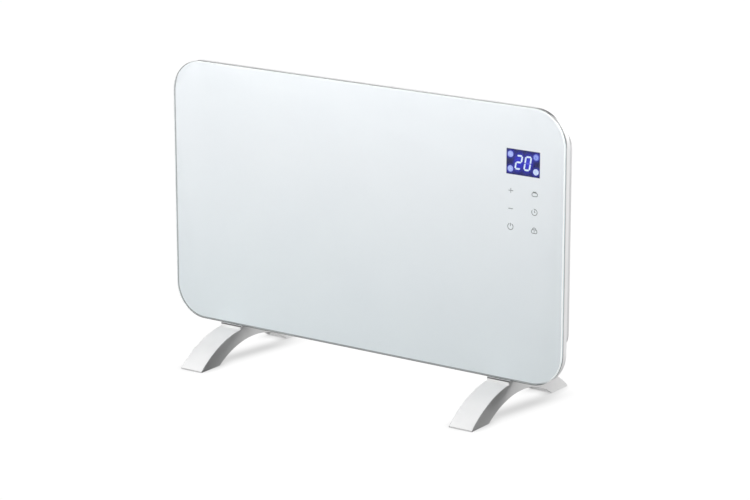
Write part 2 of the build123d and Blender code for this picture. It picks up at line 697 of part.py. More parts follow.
def display_symbols():
    """The lit 20 and the four round indicators, on the display's face."""
    shapes = [Pos(-DIGIT_PITCH / 2, 0) * part for part in digit("abged")]
    shapes += [Pos(DIGIT_PITCH / 2, 0) * part for part in digit("abcdef")]
    shapes += [Pos(side * LAMP_X, level * LAMP_Z) * Circle(LAMP_R) for side in (-1, 1) for level in (-1, 1)]
    return group([along_y(Pos(CONTROL_X, DISPLAY_Z) * shape, Y_BEAD - SYMBOL_T, Y_BEAD) for shape in shapes])


def display_module():
    """Backlit display block, its face against the enamel's window and its back on the board."""
    return block(CONTROL_X - MODULE_W / 2, CONTROL_X + MODULE_W / 2, Y_BEAD, Y_CONTROL_BOARD,
                 DISPLAY_Z - MODULE_H / 2, DISPLAY_Z + MODULE_H / 2)


def boss_places():
    return [(CONTROL_X + side * BOSS_X, z) for side in (-1, 1) for z in BOSS_Z]


def control_carrier():
    """Moulded box that holds display, pads and control board against the glass."""
    x0, x1 = CONTROL_X - CARRIER_W / 2, CONTROL_X + CARRIER_W / 2
    y_end = Y_BEAD + CARRIER_DEPTH
    wall = CARRIER_WALL
    body = block(x0, x1, Y_BEAD, y_end, CARRIER_LOW, CARRIER_TOP)
    body -= block(x0 + wall, x1 - wall, Y_BEAD + wall, y_end, CARRIER_LOW + wall, CARRIER_TOP - wall)
    for z0, z1 in ((CARRIER_LOW - TAB_L, CARRIER_LOW), (CARRIER_TOP, CARRIER_TOP + TAB_L)):
        body += block(CONTROL_X - TAB_W / 2, CONTROL_X + TAB_W / 2, Y_CASING, Y_CASING + TAB_T, z0, z1)
    body += [rod_y(BOSS_R, Y_BEAD + wall, Y_CONTROL_BOARD, x, z) for x, z in boss_places()]
    body -= [rod_y(BOARD_SCREW_R, Y_CONTROL_BOARD - BOARD_SCREW_L, Y_CONTROL_BOARD, x, z)
             for x, z in boss_places()]
    half_w, half_h = MODULE_W / 2 + DISPLAY_GAP, MODULE_H / 2 + DISPLAY_GAP
    body -= block(CONTROL_X - half_w, CONTROL_X + half_w, Y_BEAD, Y_BEAD + wall,
                  DISPLAY_Z - half_h, DISPLAY_Z + half_h)
    body -= [rod_y(PAD_R + PAD_HOLE_GAP, Y_BEAD, Y_BEAD + wall, x, z) for x in ICON_X for z in ICON_Z]
    body -= [rod_y(TAB_SCREW_R + HOLE_GAP, Y_CASING, Y_CASING + TAB_T, x, z) for x, z in tab_screw_places()]
    return body


def touch_pads():
    """Conductive pads between the board and the glass, one behind each icon."""
    return group([rod_y(PAD_R, Y_BEAD, Y_CONTROL_BOARD, x, z) for x in ICON_X for z in ICON_Z])


def control_board():
    """Circuit board of the controls, with its ribbon plug at the rear."""
    margin = CARRIER_WALL + BOARD_GAP
    half_w = CARRIER_W / 2 - margin
    y_back = Y_CONTROL_BOARD + BOARD_T
    board = block(CONTROL_X - half_w, CONTROL_X + half_w, Y_CONTROL_BOARD, y_back,
                  CARRIER_LOW + margin, CARRIER_TOP - margin)
    board -= [rod_y(BOARD_SCREW_R + HOLE_GAP, Y_CONTROL_BOARD, y_back, x, z) for x, z in boss_places()]
    return board + block(PLUG_X - PLUG_W / 2, PLUG_X + PLUG_W / 2, y_back, y_back + PLUG_D,
                         CARRIER_MID - PLUG_H / 2, CARRIER_MID + PLUG_H / 2)


def board_screw_sizes():
    return BOARD_SCREW_R, BOARD_SCREW_L, BOARD_SCREW_HEAD_R, BOARD_SCREW_HEAD_H


def control_board_screws():
    y_seat = Y_CONTROL_BOARD + BOARD_T
    return group([rear_screw(x, y_seat, z, *board_screw_sizes()) for x, z in boss_places()])


def carrier_screws():
    """Screws through the carrier's tabs into the tray."""
    y_seat = Y_CASING + TAB_T
    sizes = (TAB_SCREW_R, y_seat - Y_TRAY, TAB_SCREW_HEAD_R, TAB_SCREW_HEAD_H)
    return group([rear_screw(x, y_seat, z, *sizes) for x, z in tab_screw_places()])


# ------------------------------------------------------------------ heating group
def heat_shield():
    """Sheet on end folds that keeps the heat off the tray and the glass."""
    x0, x1 = LEFT_WEB - SHIELD_REACH, RIGHT_WEB + SHIELD_REACH
    z0, z1 = CASING_LOW + SHIELD_EDGE, CASING_TOP - SHIELD_EDGE
    plate = block(x0, x1, Y_SHIELD - SHIELD_T, Y_SHIELD, z0, z1)
    folds = [block(x, x + SHIELD_T, Y_CASING, Y_SHIELD, z0, z1) for x in (x0, x1 - SHIELD_T)]
    return plate + folds


def element_bracket(web_x, side):
    """Folded channel that carries the rods' ends; its flanges point away from the elements."""
    x0, x1 = sorted((web_x, web_x + side * BRACKET_T))
    f0, f1 = sorted((web_x, web_x + side * BRACKET_FLANGE))
    web = block(x0, x1, Y_SHIELD, Y_BACK_IN, BRACKET_LOW, BRACKET_TOP)
    web += block(f0, f1, Y_SHIELD, Y_SHIELD + BRACKET_T, BRACKET_LOW, BRACKET_TOP)
    web += block(f0, f1, Y_BACK_IN - BRACKET_T, Y_BACK_IN, BRACKET_LOW, BRACKET_TOP)
    return web - [rod_x(BUSHING_R + BUSHING_HOLE_GAP, x0, x1, ELEMENT_Y, z) for z in ROD_Z]


def bushing(web_x, side, z):
    """Flanged ceramic bushing, its flange on the element's side of the bracket."""
    f0, f1 = sorted((web_x, web_x - side * BUSHING_FLANGE_T))
    s0, s1 = sorted((web_x, web_x + side * BUSHING_SLEEVE_L))
    body = rod_x(BUSHING_FLANGE_R, f0, f1, ELEMENT_Y, z) + rod_x(BUSHING_R, s0, s1, ELEMENT_Y, z)
    return body - rod_x(ROD_BORE_R, min(f0, s0), max(f1, s1), ELEMENT_Y, z)


def rod_bushings():
    ends = ((LEFT_WEB, -1), (RIGHT_WEB, 1))
    return group([bushing(web_x, side, z) for web_x, side in ends for z in ROD_Z])


def fin_profile():
    """Cross-section of an element: a tube with four barred arms."""
    profile = Circle(FIN_TUBE_R)
    for side in (-1, 1):
        for level in (-1, 1):
            angle = side * level * FIN_ARM_ANGLE
            tip_y = side * FIN_ARM_R * cos(radians(FIN_ARM_ANGLE))
            tip_z = level * FIN_ARM_R * sin(radians(FIN_ARM_ANGLE))
            profile += Pos(tip_y / 2, tip_z / 2) * Rot(0, 0, angle) * Rectangle(FIN_ARM_R, FIN_ARM_T)
            profile += Pos(tip_y, tip_z) * Rectangle(FIN_TIP_T, FIN_TIP_L)
    return profile - Circle(ROD_BORE_R)


def element_fins(z):
    """Extruded aluminium X profile round one heating rod."""
    end_gap = BUSHING_FLANGE_T + FIN_END_GAP
    return along_x(Pos(ELEMENT_Y, z) * fin_profile(), LEFT_WEB + end_gap, RIGHT_WEB - end_gap)


def heating_rod(z):
    return rod_x(ROD_R, LEFT_WEB - ROD_REACH, RIGHT_WEB + ROD_REACH, ELEMENT_Y, z)


def rod_pins():
    """Terminal pins at the rods' ends."""
    left, right = LEFT_WEB - ROD_REACH, RIGHT_WEB + ROD_REACH
    pins = [rod_x(PIN_R, left - PIN_L, left, ELEMENT_Y, z) for z in ROD_Z]
    return group(pins + [rod_x(PIN_R, right, right + PIN_L, ELEMENT_Y, z) for z in ROD_Z])


def thermal_cutout():
    """Bimetal disc cutout on the shield, above the elements."""
    x, z = CUTOUT_X, CUTOUT_Z
    half_w, half_h = CUTOUT_FLANGE_W / 2, CUTOUT_FLANGE_H / 2
    y_body = Y_SHIELD + CUTOUT_FLANGE_T
    y_top = y_body + CUTOUT_H
    body = block(x - half_w, x + half_w, Y_SHIELD, y_body, z - half_h, z + half_h)
    body += rod_y(CUTOUT_R, y_body, y_top, x, z)
    for side in (-1, 1):
        x0, x1 = sorted((x + side * TAG_GAP / 2, x + side * (TAG_GAP / 2 + TAG_L)))
        body += block(x0, x1, y_top, y_top + TAG_T, z - TAG_W / 2, z + TAG_W / 2)
    return body


def thermal_fuse():
    return rod_x(FUSE_R, FUSE_X - FUSE_L / 2, FUSE_X + FUSE_L / 2, Y_TAG, CUTOUT_Z)


def fuse_clip():
    """Block on the shield that holds the fuse."""
    half_w = FUSE_CLIP_W / 2
    x0, x1 = FUSE_X - FUSE_CLIP_L / 2, FUSE_X + FUSE_CLIP_L / 2
    body = block(x0, x1, Y_SHIELD, Y_TAG + half_w, CUTOUT_Z - half_w, CUTOUT_Z + half_w)
    return body - rod_x(FUSE_R + FUSE_FIT_GAP, x0, x1, Y_TAG, CUTOUT_Z)


# ------------------------------------------------------------------ power board
def on_board(inset, width, depth, rise, height):
    """A box seated on the power board's front, from the board's left and lower edges."""
    return block(BOARD_X0 + inset, BOARD_X0 + inset + width, Y_POWER_BOARD - depth, Y_POWER_BOARD,
                 BOARD_Z0 + rise, BOARD_Z0 + rise + height)


def standoff_places():
    return [(x, z) for x in (BOARD_X0 + STANDOFF_INSET, BOARD_X1 - STANDOFF_INSET)
            for z in (BOARD_Z0 + STANDOFF_INSET, BOARD_Z1 - STANDOFF_INSET)]


def tilt_peg_places():
    return [(TILT_X, TILT_Z - TILT_BELOW + TILT_W / 4), (TILT_X, TILT_Z + TILT_ABOVE - TILT_W / 4)]


def power_board():
    """Circuit board of the power side, with its ribbon plug."""
    y_back = Y_POWER_BOARD + BOARD_T
    board = block(BOARD_X0, BOARD_X1, Y_POWER_BOARD, y_back, BOARD_Z0, BOARD_Z1)
    board -= [rod_y(BOARD_SCREW_R + HOLE_GAP, Y_POWER_BOARD, y_back, x, z) for x, z in standoff_places()]
    board -= [rod_y(BOARD_SCREW_R + HOLE_GAP, Y_POWER_BOARD, y_back, x, z) for x, z in tilt_peg_places()]
    return board + on_board(PLUG_INSET, PLUG_W, PLUG_D, PLUG_RISE, PLUG_H)


def board_standoffs():
    """Nylon spacers between the power board and the casing's back."""
    y_front = Y_POWER_BOARD + BOARD_T
    return group([rod_y(STANDOFF_R, y_front, Y_BACK_IN, x, z)
                  - rod_y(BOARD_SCREW_R, y_front, y_front + BOARD_SCREW_L - BOARD_T, x, z)
                  for x, z in standoff_places()])


def power_board_screws():
    return group([front_screw(x, Y_POWER_BOARD, z, *board_screw_sizes()) for x, z in standoff_places()])


def relays():
    """One relay for each heat level."""
    return group([on_board(RELAY_INSET + step * RELAY_PITCH, RELAY_W, RELAY_D, RELAY_RISE, RELAY_H)
                  for step in range(2)])


def mains_terminal_block():
    """Screw terminals for the mains and element leads."""
    body = on_board(TERMINAL_INSET, TERMINAL_W, TERMINAL_D, TERMINAL_RISE, TERMINAL_H)
    pitch = TERMINAL_W / TERMINAL_WAYS
    y_face = Y_POWER_BOARD - TERMINAL_D
    z = BOARD_Z0 + TERMINAL_RISE + TERMINAL_H / 2
    first_x = BOARD_X0 + TERMINAL_INSET + pitch / 2
    return body - [rod_y(TERMINAL_SCREW_R, y_face, y_face + TERMINAL_SCREW_DEPTH, first_x + way * pitch, z)
                   for way in range(TERMINAL_WAYS)]


def suppression_capacitor():
    body = on_board(CAPACITOR_INSET, CAPACITOR_W, CAPACITOR_D, CAPACITOR_RISE, CAPACITOR_H)
    return fillet(body.edges().filter_by(Axis.Y), CAPACITOR_EDGE_R)


# ------------------------------------------------------------------ tip-over switch
def tilt_switch_housing():
    """Moulded channel on the board, with two cheeks for the pivot pin."""
    x0, x1 = TILT_X - TILT_W / 2, TILT_X + TILT_W / 2
    z0, z1 = TILT_Z - TILT_BELOW, TILT_Z + TILT_ABOVE
    y0 = Y_POWER_BOARD - TILT_DEPTH
    body = block(x0, x1, y0, Y_POWER_BOARD, z0, z1)
    body -= block(x0 + TILT_WALL, x1 - TILT_WALL, y0, Y_POWER_BOARD - TILT_WALL, z0, z1)
    body += [rod_y(BOARD_SCREW_R, Y_POWER_BOARD, Y_POWER_BOARD + BOARD_T, x, z) for x, z in tilt_peg_places()]
    return body - rod_x(TILT_PIN_R + TILT_PIN_FIT, x0, x1, TILT_Y, TILT_Z)


def tilt_pivot_pin():
    reach = TILT_W / 2 + TILT_PIN_OVERHANG
    return rod_x(TILT_PIN_R, TILT_X - reach, TILT_X + reach, TILT_Y, TILT_Z)


def tilt_pendulum():
    """Weighted arm that hangs on the pin, with a vane above it in the sensor's slot."""
    half_hub, half_weight = PENDULUM_HUB_L / 2, PENDULUM_WEIGHT_L / 2
    half_arm_w, half_arm_t = PENDULUM_ARM_W / 2, PENDULUM_ARM_T / 2
    body = rod_x(PENDULUM_HUB_R, TILT_X - half_hub, TILT_X + half_hub, TILT_Y, TILT_Z)
    body += block(TILT_X - half_arm_w, TILT_X + half_arm_w, TILT_Y - half_arm_t, TILT_Y + half_arm_t,
                  TILT_Z - PENDULUM_L, TILT_Z)
    body += rod_x(PENDULUM_WEIGHT_R, TILT_X - half_weight, TILT_X + half_weight, TILT_Y, TILT_Z - PENDULUM_L)
    body += block(TILT_X - VANE_T / 2, TILT_X + VANE_T / 2, TILT_Y - VANE_W / 2, TILT_Y + VANE_W / 2,
                  TILT_Z, TILT_Z + VANE_H)
    bore = rod_x(TILT_PIN_R + TILT_RUN_GAP, TILT_X - half_hub, TILT_X + half_hub, TILT_Y, TILT_Z)
    return body - bore


def tilt_optical_sensor():
    """Forked light sensor on the housing's base; the vane stands in its slot at rest."""
    half_w = SENSOR_SLOT_W / 2 + SENSOR_ARM_W
    y_base = Y_POWER_BOARD - TILT_WALL
    z0, z1 = TILT_Z + SENSOR_LOW, TILT_Z + SENSOR_LOW + SENSOR_H
    body = block(TILT_X - half_w, TILT_X + half_w, y_base - SENSOR_REACH, y_base, z0, z1)
    x0, x1 = TILT_X - SENSOR_SLOT_W / 2, TILT_X + SENSOR_SLOT_W / 2
    return body - block(x0, x1, y_base - SENSOR_REACH, y_base - SENSOR_BASE, z0, z1)


# ------------------------------------------------------------------ mains switch and cord inlet
def power_switch_body():
    """Snap-in switch body with its bezel, and a pocket that the rocker swings in."""
    body = block(SWITCH_X - BODY_X, SWITCH_X + BODY_X, Y_BACK - SWITCH_BODY_D, Y_BACK,
                 SWITCH_Z - BODY_Z, SWITCH_Z + BODY_Z)
    frame = Pos(SWITCH_X, SWITCH_Z) * RectangleRounded(
        2 * (BODY_X + BEZEL_LIP), 2 * (BODY_Z + BEZEL_LIP), BEZEL_LIP)
    bezel = along_y(frame, Y_BACK, Y_BACK + BEZEL_T)
    bezel = fillet(bezel.faces().sort_by(Axis.Y)[-1].edges(), BEZEL_EDGE_R)
    body += bezel
    body -= block(SWITCH_X - POCKET_X, SWITCH_X + POCKET_X, SWITCH_Y - SWITCH_POCKET + SWITCH_PIVOT_DEPTH,
                  Y_BACK + BEZEL_T, SWITCH_Z - POCKET_Z, SWITCH_Z + POCKET_Z)
    return body - rod_x(TRUNNION_R + TRUNNION_GAP, SWITCH_X - BODY_X, SWITCH_X + BODY_X, SWITCH_Y, SWITCH_Z)


def power_switch_rocker():
    """Rocker key with a dished face, drawn level and then tipped to its rest side."""
    half = ROCKER_HALF_L
    crest = ROCKER_FACE + half * tan(radians(ROCKER_TILT))
    foot_points = [(-ROCKER_FOOT, ROCKER_FOOT_HALF), (-ROCKER_FOOT, -ROCKER_FOOT_HALF)]
    profile = make_face(Polyline((crest, -half), (ROCKER_FACE, 0), (crest, half), (ROCKER_EDGE_T, half),
                                 *foot_points, (ROCKER_EDGE_T, -half), close=True))
    key = along_x(profile, -ROCKER_W / 2, ROCKER_W / 2)
    reach = BODY_X - TRUNNION_END_GAP
    key += rod_x(TRUNNION_R, -reach, reach, 0, 0)
    return Pos(SWITCH_X, SWITCH_Y, SWITCH_Z) * Rot(ROCKER_TILT, 0, 0) * key


def power_switch_blades():
    """Flat terminals at the switch's back."""
    y1 = Y_BACK - SWITCH_BODY_D
    blades = []
    for column in (-1, 1):
        for row in (-1, 1):
            x = SWITCH_X + column * BLADE_COLUMN / 2
            z = SWITCH_Z + row * BLADE_SPACING / 2
            blade = Pos(x, z) * Rectangle(BLADE_T, BLADE_W)
            blades.append(along_y(blade, y1 - BLADE_L, y1))
    return group(blades)


def cord_gland():
    """Bushing for the mains cord, with a tapering snout outside the casing."""
    y_snout = Y_BACK + GLAND_FLANGE_T
    body = rod_y(GLAND_STEM_R, Y_BACK - GLAND_STEM_L, Y_BACK, GLAND_X, GLAND_Z)
    body += rod_y(GLAND_FLANGE_R, Y_BACK, y_snout, GLAND_X, GLAND_Z)
    snout = Rot(-90, 0, 0) * Cone(GLAND_SNOUT_R, GLAND_SNOUT_TIP_R, GLAND_SNOUT_L)
    body += Pos(GLAND_X, y_snout + GLAND_SNOUT_L / 2, GLAND_Z) * snout
    return body - rod_y(GLAND_BORE_R, Y_BACK - GLAND_STEM_L, y_snout + GLAND_SNOUT_L, GLAND_X, GLAND_Z)


def gland_nut():
    """Hexagon nut that clamps the gland from inside."""
    hexagon = Pos(GLAND_X, GLAND_Z) * RegularPolygon(GLAND_NUT_FLAT_R, 6, major_radius=False)
    bore = Pos(GLAND_X, GLAND_Z) * Circle(GLAND_STEM_R + GLAND_NUT_GAP)
    return along_y(hexagon - bore, Y_BACK_IN - GLAND_NUT_T, Y_BACK_IN)


def room_sensor():
    x = WALL_X - ROOM_SENSOR_SIDE
    half = ROOM_SENSOR_L / 2
    return rod_x(ROOM_SENSOR_R, x - half, x + half, ROOM_SENSOR_Y, FLOOR_Z + CLIP_AXIS)


def sensor_clip():
    """Saddle on the casing's floor round the room sensor."""
    x = WALL_X - ROOM_SENSOR_SIDE
    body = block(x - CLIP_L / 2, x + CLIP_L / 2, ROOM_SENSOR_Y - CLIP_W / 2, ROOM_SENSOR_Y + CLIP_W / 2,
                 FLOOR_Z, FLOOR_Z + CLIP_H)
    bore_r = ROOM_SENSOR_R + ROOM_SENSOR_FIT
    return body - rod_x(bore_r, x - CLIP_L / 2, x + CLIP_L / 2, ROOM_SENSOR_Y, FLOOR_Z + CLIP_AXIS)


# ------------------------------------------------------------------ feet
def foot_outline(drop):
    """Area under the foot's convex upper curve, drawn down by a wall."""
    tip = FOOT_L / 2 - drop
    top = FOOT_TOP_H - drop
    radius = FOOT_BACK_R - drop
    right = RadiusArc((tip, FOOT_TOE_H), (SADDLE_Y, top), -radius)
    left = RadiusArc((-SADDLE_Y, top), (-tip, FOOT_TOE_H), -radius)
    lines = [Line((-tip, FOOT_TOE_H), (-tip, SOLE_Z)), Line((-tip, SOLE_Z), (tip, SOLE_Z)),
             Line((tip, SOLE_Z), (tip, FOOT_TOE_H)), right, Line((SADDLE_Y, top), (-SADDLE_Y, top)), left]
    return make_face(lines)


def arch_outline():
    """Area under the foot's arch, down past the sole."""
    half = ARCH_SPAN / 2
    arc = ThreePointArc((-half, 0), (0, ARCH_H), (half, 0))
    return make_face([arc, Line((half, 0), (-half, 0))])


def foot_hollow():
    """Ribbed pocket inside the foot, open to the arch."""
    reach = FOOT_L / 2 - TOE_BLOCK_L
    pocket = foot_outline(FOOT_WALL) & Pos(0, FOOT_TOP_H / 2) * Rectangle(2 * reach, FOOT_TOP_H)
    column_mid = (COLUMN_Y0 + COLUMN_Y1) / 2
    column_l = COLUMN_Y1 - COLUMN_Y0 - 2 * FOOT_WALL
    pocket += Pos(column_mid, FOOT_SCREW_SEAT / 2) * Rectangle(column_l, FOOT_SCREW_SEAT)
    for side in (-1, 1):
        for place in RIB_PLACES:
            pocket -= Pos(side * place, FOOT_TOP_H / 2) * Rectangle(RIB_T, FOOT_TOP_H)
    half = FOOT_W / 2 - FOOT_WALL - COLUMN_SIDE_INSET
    return along_x(pocket, -half, half)


def sole_places():
    """Middle of each sole pad along the foot."""
    reach = FOOT_L / 2 - SOLE_END_INSET - SOLE_L / 2
    return (-reach, reach)


def foot(side):
    """Moulded arched foot with a saddle under the glass and a column up to the casing."""
    arch = along_x(foot_outline(0) - arch_outline(), -FOOT_W / 2, FOOT_W / 2)
    crest = arch.edges().filter_by(GeomType.CIRCLE).filter_by(
        lambda edge: abs(edge.radius - FOOT_BACK_R) < FOOT_EDGE_R)
    arch = fillet(crest, FOOT_EDGE_R)
    saddle = along_z(RectangleRounded(FOOT_W, 2 * SADDLE_Y, SADDLE_CORNER_R),
                     FOOT_TOP_H - SADDLE_CORNER_R, SADDLE_TOP)
    column = block(COLUMN_SIDE_INSET - FOOT_W / 2, FOOT_W / 2 - COLUMN_SIDE_INSET, COLUMN_Y0, COLUMN_Y1,
                   FOOT_TOP_H, CASING_LOW)
    body = arch + saddle + column - foot_hollow()
    recess = RectangleRounded(SOLE_W, SOLE_L, SOLE_CORNER_R)
    body -= [along_z(Pos(0, y) * recess, 0, SOLE_T) for y in sole_places()]
    body -= [rod_z(FOOT_SCREW_HOLE_R, FOOT_SCREW_SEAT, CASING_LOW, 0, y) for y in FOOT_SCREW_Y]
    return Pos(side * FOOT_X, 0, 0) * body


def foot_soles(side):
    """Rubber pads let into the foot's two ends."""
    pad = RectangleRounded(SOLE_W, SOLE_L, SOLE_CORNER_R)
    return group([Pos(side * FOOT_X, 0, 0) * along_z(Pos(0, y) * pad, 0, SOLE_T) for y in sole_places()])


def foot_screws():
    """Screws from inside the feet up into the nut plates."""
    sizes = (FOOT_SCREW_R, FOOT_SCREW_L, FOOT_SCREW_HEAD_R, FOOT_SCREW_HEAD_H)
    return group([Pos(side * FOOT_X, y, FOOT_SCREW_SEAT) * Rot(180, 0, 0) * screw(*sizes)
                  for side in (-1, 1) for y in FOOT_SCREW_Y])


def foot_nut_plates():
    """Tapped steel plates on the casing's floor over the feet."""
    mid_y = sum(FOOT_SCREW_Y) / 2
    plates = []
    top = FLOOR_Z + NUT_PLATE_T
    for side in (-1, 1):
        plate = along_z(Pos(side * FOOT_X, mid_y) * Rectangle(NUT_PLATE_W, NUT_PLATE_L), FLOOR_Z, top)
        plates.append(plate - [rod_z(FOOT_SCREW_R + HOLE_GAP, FLOOR_Z, top, side * FOOT_X, y)
                               for y in FOOT_SCREW_Y])
    return group(plates)


# ------------------------------------------------------------------ wiring
def ribbon_cable():
    """Flat cable from the control board's plug back and down to the power board's plug."""
    y0 = Y_CONTROL_BOARD + BOARD_T + PLUG_D
    y1 = y0 + RIBBON_BACK
    y2 = Y_POWER_BOARD - PLUG_D
    z1 = BOARD_Z0 + PLUG_RISE + PLUG_H / 2
    path = FilletPolyline((y0, CARRIER_MID), (y1, CARRIER_MID), (y1, z1), (y2, z1), radius=RIBBON_BEND_R)
    return along_x(trace(path, RIBBON_T), PLUG_X - PLUG_W / 2, PLUG_X + PLUG_W / 2)


def lead(points, radii):
    """An insulated lead along straight runs with rounded corners."""
    path = FilletPolyline(*points, radius=radii) if radii else Line(*points)
    return sweep(Plane(path @ 0, z_dir=path % 0) * Circle(LEAD_R), path=path)


def element_leads():
    """Leads of the two elements, through the cutout and the fuse, to relays and terminals."""
    low, high = ROD_Z
    left = LEFT_WEB - ROD_REACH - PIN_L
    right = RIGHT_WEB + ROD_REACH + PIN_L
    jumper_x = left - LEAD_SIDE_GAP
    cutout_in = CUTOUT_X - TAG_GAP / 2 - TAG_L
    cutout_out = CUTOUT_X + TAG_GAP / 2 + TAG_L
    fuse_in, fuse_out = FUSE_X - FUSE_L / 2, FUSE_X + FUSE_L / 2
    relay_z = BOARD_Z0 + RELAY_RISE
    relay_x = [BOARD_X0 + RELAY_INSET + step * RELAY_PITCH + RELAY_W / 2 for step in range(2)]
    relay_y = Y_POWER_BOARD - RELAY_D / 2
    pin_mid = left + PIN_L / 2
    drop_x = right - PIN_L - LEAD_BEND_R
    block_x = BOARD_X0 + TERMINAL_INSET + TERMINAL_W / 2
    block_top = BOARD_Z0 + TERMINAL_RISE + TERMINAL_H
    block_y = Y_POWER_BOARD - TERMINAL_D / 2
    cross_z = block_top + LEAD_CROSS_RISE
    bend, wide, ease = LEAD_BEND_R, LEAD_WIDE_R, LEAD_EASE_R
    rise_z = high + PIN_R + LEAD_RISE
    jumper = lead([(left, ELEMENT_Y, low), (jumper_x, ELEMENT_Y, low),
                   (jumper_x, ELEMENT_Y, high), (left, ELEMENT_Y, high)], (bend, bend))
    common = lead([(pin_mid, ELEMENT_Y, high + PIN_R), (pin_mid, ELEMENT_Y, rise_z),
                   (pin_mid, Y_TAG, CUTOUT_Z), (cutout_in, Y_TAG, CUTOUT_Z)], (ease, wide))
    link = lead([(cutout_out, Y_TAG, CUTOUT_Z), (fuse_in, Y_TAG, CUTOUT_Z)], ())
    feed = lead([(fuse_out, Y_TAG, CUTOUT_Z), (drop_x, Y_TAG, CUTOUT_Z), (drop_x, Y_TAG, cross_z),
                 (block_x, Y_TAG, cross_z), (block_x, block_y, cross_z), (block_x, block_y, block_top)],
                (wide, wide, wide, wide))
    slant_z0, slant_z1 = low + LEAD_SLANT_RISE, relay_z - LEAD_SLANT_DROP
    lower = lead([(right, ELEMENT_Y, low), (relay_x[0], ELEMENT_Y, low), (relay_x[0], ELEMENT_Y, slant_z0),
                  (relay_x[0], relay_y, slant_z1), (relay_x[0], relay_y, relay_z)], (bend, ease, ease))
    upper = lead([(right, ELEMENT_Y, high), ((right + relay_x[1]) / 2, ELEMENT_Y, high),
                  (relay_x[1], relay_y, high), (relay_x[1], relay_y, relay_z)], (ease, bend))
    return group([jumper, common, link, feed, lower, upper])


def switch_lead():
    """Lead from the mains switch to the terminal block."""
    x0 = SWITCH_X - BLADE_COLUMN / 2
    z0 = SWITCH_Z + BLADE_SPACING / 2
    y0 = Y_BACK - SWITCH_BODY_D - BLADE_L
    y1 = y0 - LEAD_REACH
    way = TERMINAL_W / TERMINAL_WAYS
    x1 = BOARD_X0 + TERMINAL_INSET + TERMINAL_W - way * 3 / 2
    y2 = Y_POWER_BOARD - TERMINAL_D / 2
    z1 = BOARD_Z0 + TERMINAL_RISE
    points = [(x0, y0, z0), (x0, y1, z0), (x1, y1, z0), (x1, y2, z0), (x1, y2, z1)]
    return lead(points, (LEAD_BEND_R, LEAD_BEND_R, LEAD_BEND_R))


# ------------------------------------------------------------------ export
PARTS = {
    "glass_panel": glass_panel,
    "enamel_print": enamel_print,
    "icon_print": icon_print,
    "glass_adhesive": glass_adhesive,
    "front_tray": front_tray,
    "rear_casing": rear_casing,
    "casing_posts": casing_posts,
    "casing_screws": casing_screws,
    "display_module": display_module,
    "display_symbols": display_symbols,
    "control_carrier": control_carrier,
    "control_board": control_board,
    "control_board_screws": control_board_screws,
    "carrier_screws": carrier_screws,
    "touch_pads": touch_pads,
    "heat_shield": heat_shield,
    "left_element_bracket": lambda: element_bracket(LEFT_WEB, -1),
    "right_element_bracket": lambda: element_bracket(RIGHT_WEB, 1),
    "lower_element_fins": lambda: element_fins(ROD_Z[0]),
    "upper_element_fins": lambda: element_fins(ROD_Z[1]),
    "lower_heating_rod": lambda: heating_rod(ROD_Z[0]),
    "upper_heating_rod": lambda: heating_rod(ROD_Z[1]),
    "rod_bushings": rod_bushings,
    "rod_pins": rod_pins,
    "thermal_cutout": thermal_cutout,
    "thermal_fuse": thermal_fuse,
    "fuse_clip": fuse_clip,
    "power_board": power_board,
    "power_board_screws": power_board_screws,
    "board_standoffs": board_standoffs,
    "relays": relays,
    "mains_terminal_block": mains_terminal_block,
    "suppression_capacitor": suppression_capacitor,
    "tilt_switch_housing": tilt_switch_housing,
    "tilt_pivot_pin": tilt_pivot_pin,
    "tilt_pendulum": tilt_pendulum,
    "tilt_optical_sensor": tilt_optical_sensor,
    "power_switch_body": power_switch_body,
    "power_switch_rocker": power_switch_rocker,
    "power_switch_blades": power_switch_blades,
    "cord_gland": cord_gland,
    "gland_nut": gland_nut,
    "room_sensor": room_sensor,
    "sensor_clip": sensor_clip,
    "left_foot": lambda: foot(-1),
    "right_foot": lambda: foot(1),
    "left_foot_soles": lambda: foot_soles(-1),
    "right_foot_soles": lambda: foot_soles(1),
    "foot_screws": foot_screws,
    "foot_nut_plates": foot_nut_plates,
    "ribbon_cable": ribbon_cable,
    "element_leads": element_leads,
    "switch_lead": switch_lead,
}

os.makedirs("parts", exist_ok=True)
for node, make in PARTS.items():
    export_step(make(), f"parts/{node}.step")
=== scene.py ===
import json
from math import cos, pi, radians, sin, tan

import bmesh
import bpy
from mathutils import Matrix, Vector


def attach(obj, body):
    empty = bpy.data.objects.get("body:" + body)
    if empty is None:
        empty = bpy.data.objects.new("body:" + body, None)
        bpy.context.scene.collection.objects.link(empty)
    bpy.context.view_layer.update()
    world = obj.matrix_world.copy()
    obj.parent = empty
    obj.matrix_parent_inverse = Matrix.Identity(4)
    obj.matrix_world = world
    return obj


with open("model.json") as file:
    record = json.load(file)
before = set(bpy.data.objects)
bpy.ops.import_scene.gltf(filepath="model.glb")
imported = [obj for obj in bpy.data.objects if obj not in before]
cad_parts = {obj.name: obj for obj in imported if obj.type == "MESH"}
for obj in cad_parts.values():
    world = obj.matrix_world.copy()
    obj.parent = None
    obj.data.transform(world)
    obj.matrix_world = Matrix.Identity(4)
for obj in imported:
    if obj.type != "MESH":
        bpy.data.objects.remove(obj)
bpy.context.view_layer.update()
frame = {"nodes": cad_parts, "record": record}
scene = bpy.context.scene
scene.view_settings.view_transform = "Standard"
MM = 0.001


# ------------------------------------------------------------------ camera
CAMERA_AT = Vector((2.4573, -3.5227, 1.3712))
AZIMUTH, ELEVATION, ROLL = radians(34.842), radians(15.125), radians(-0.054)
FOCAL_PX, WIDTH_PX, SENSOR_MM = 2822.0, 750.0, 36.0
FARTHEST = 60       # metres, past the floor's corners


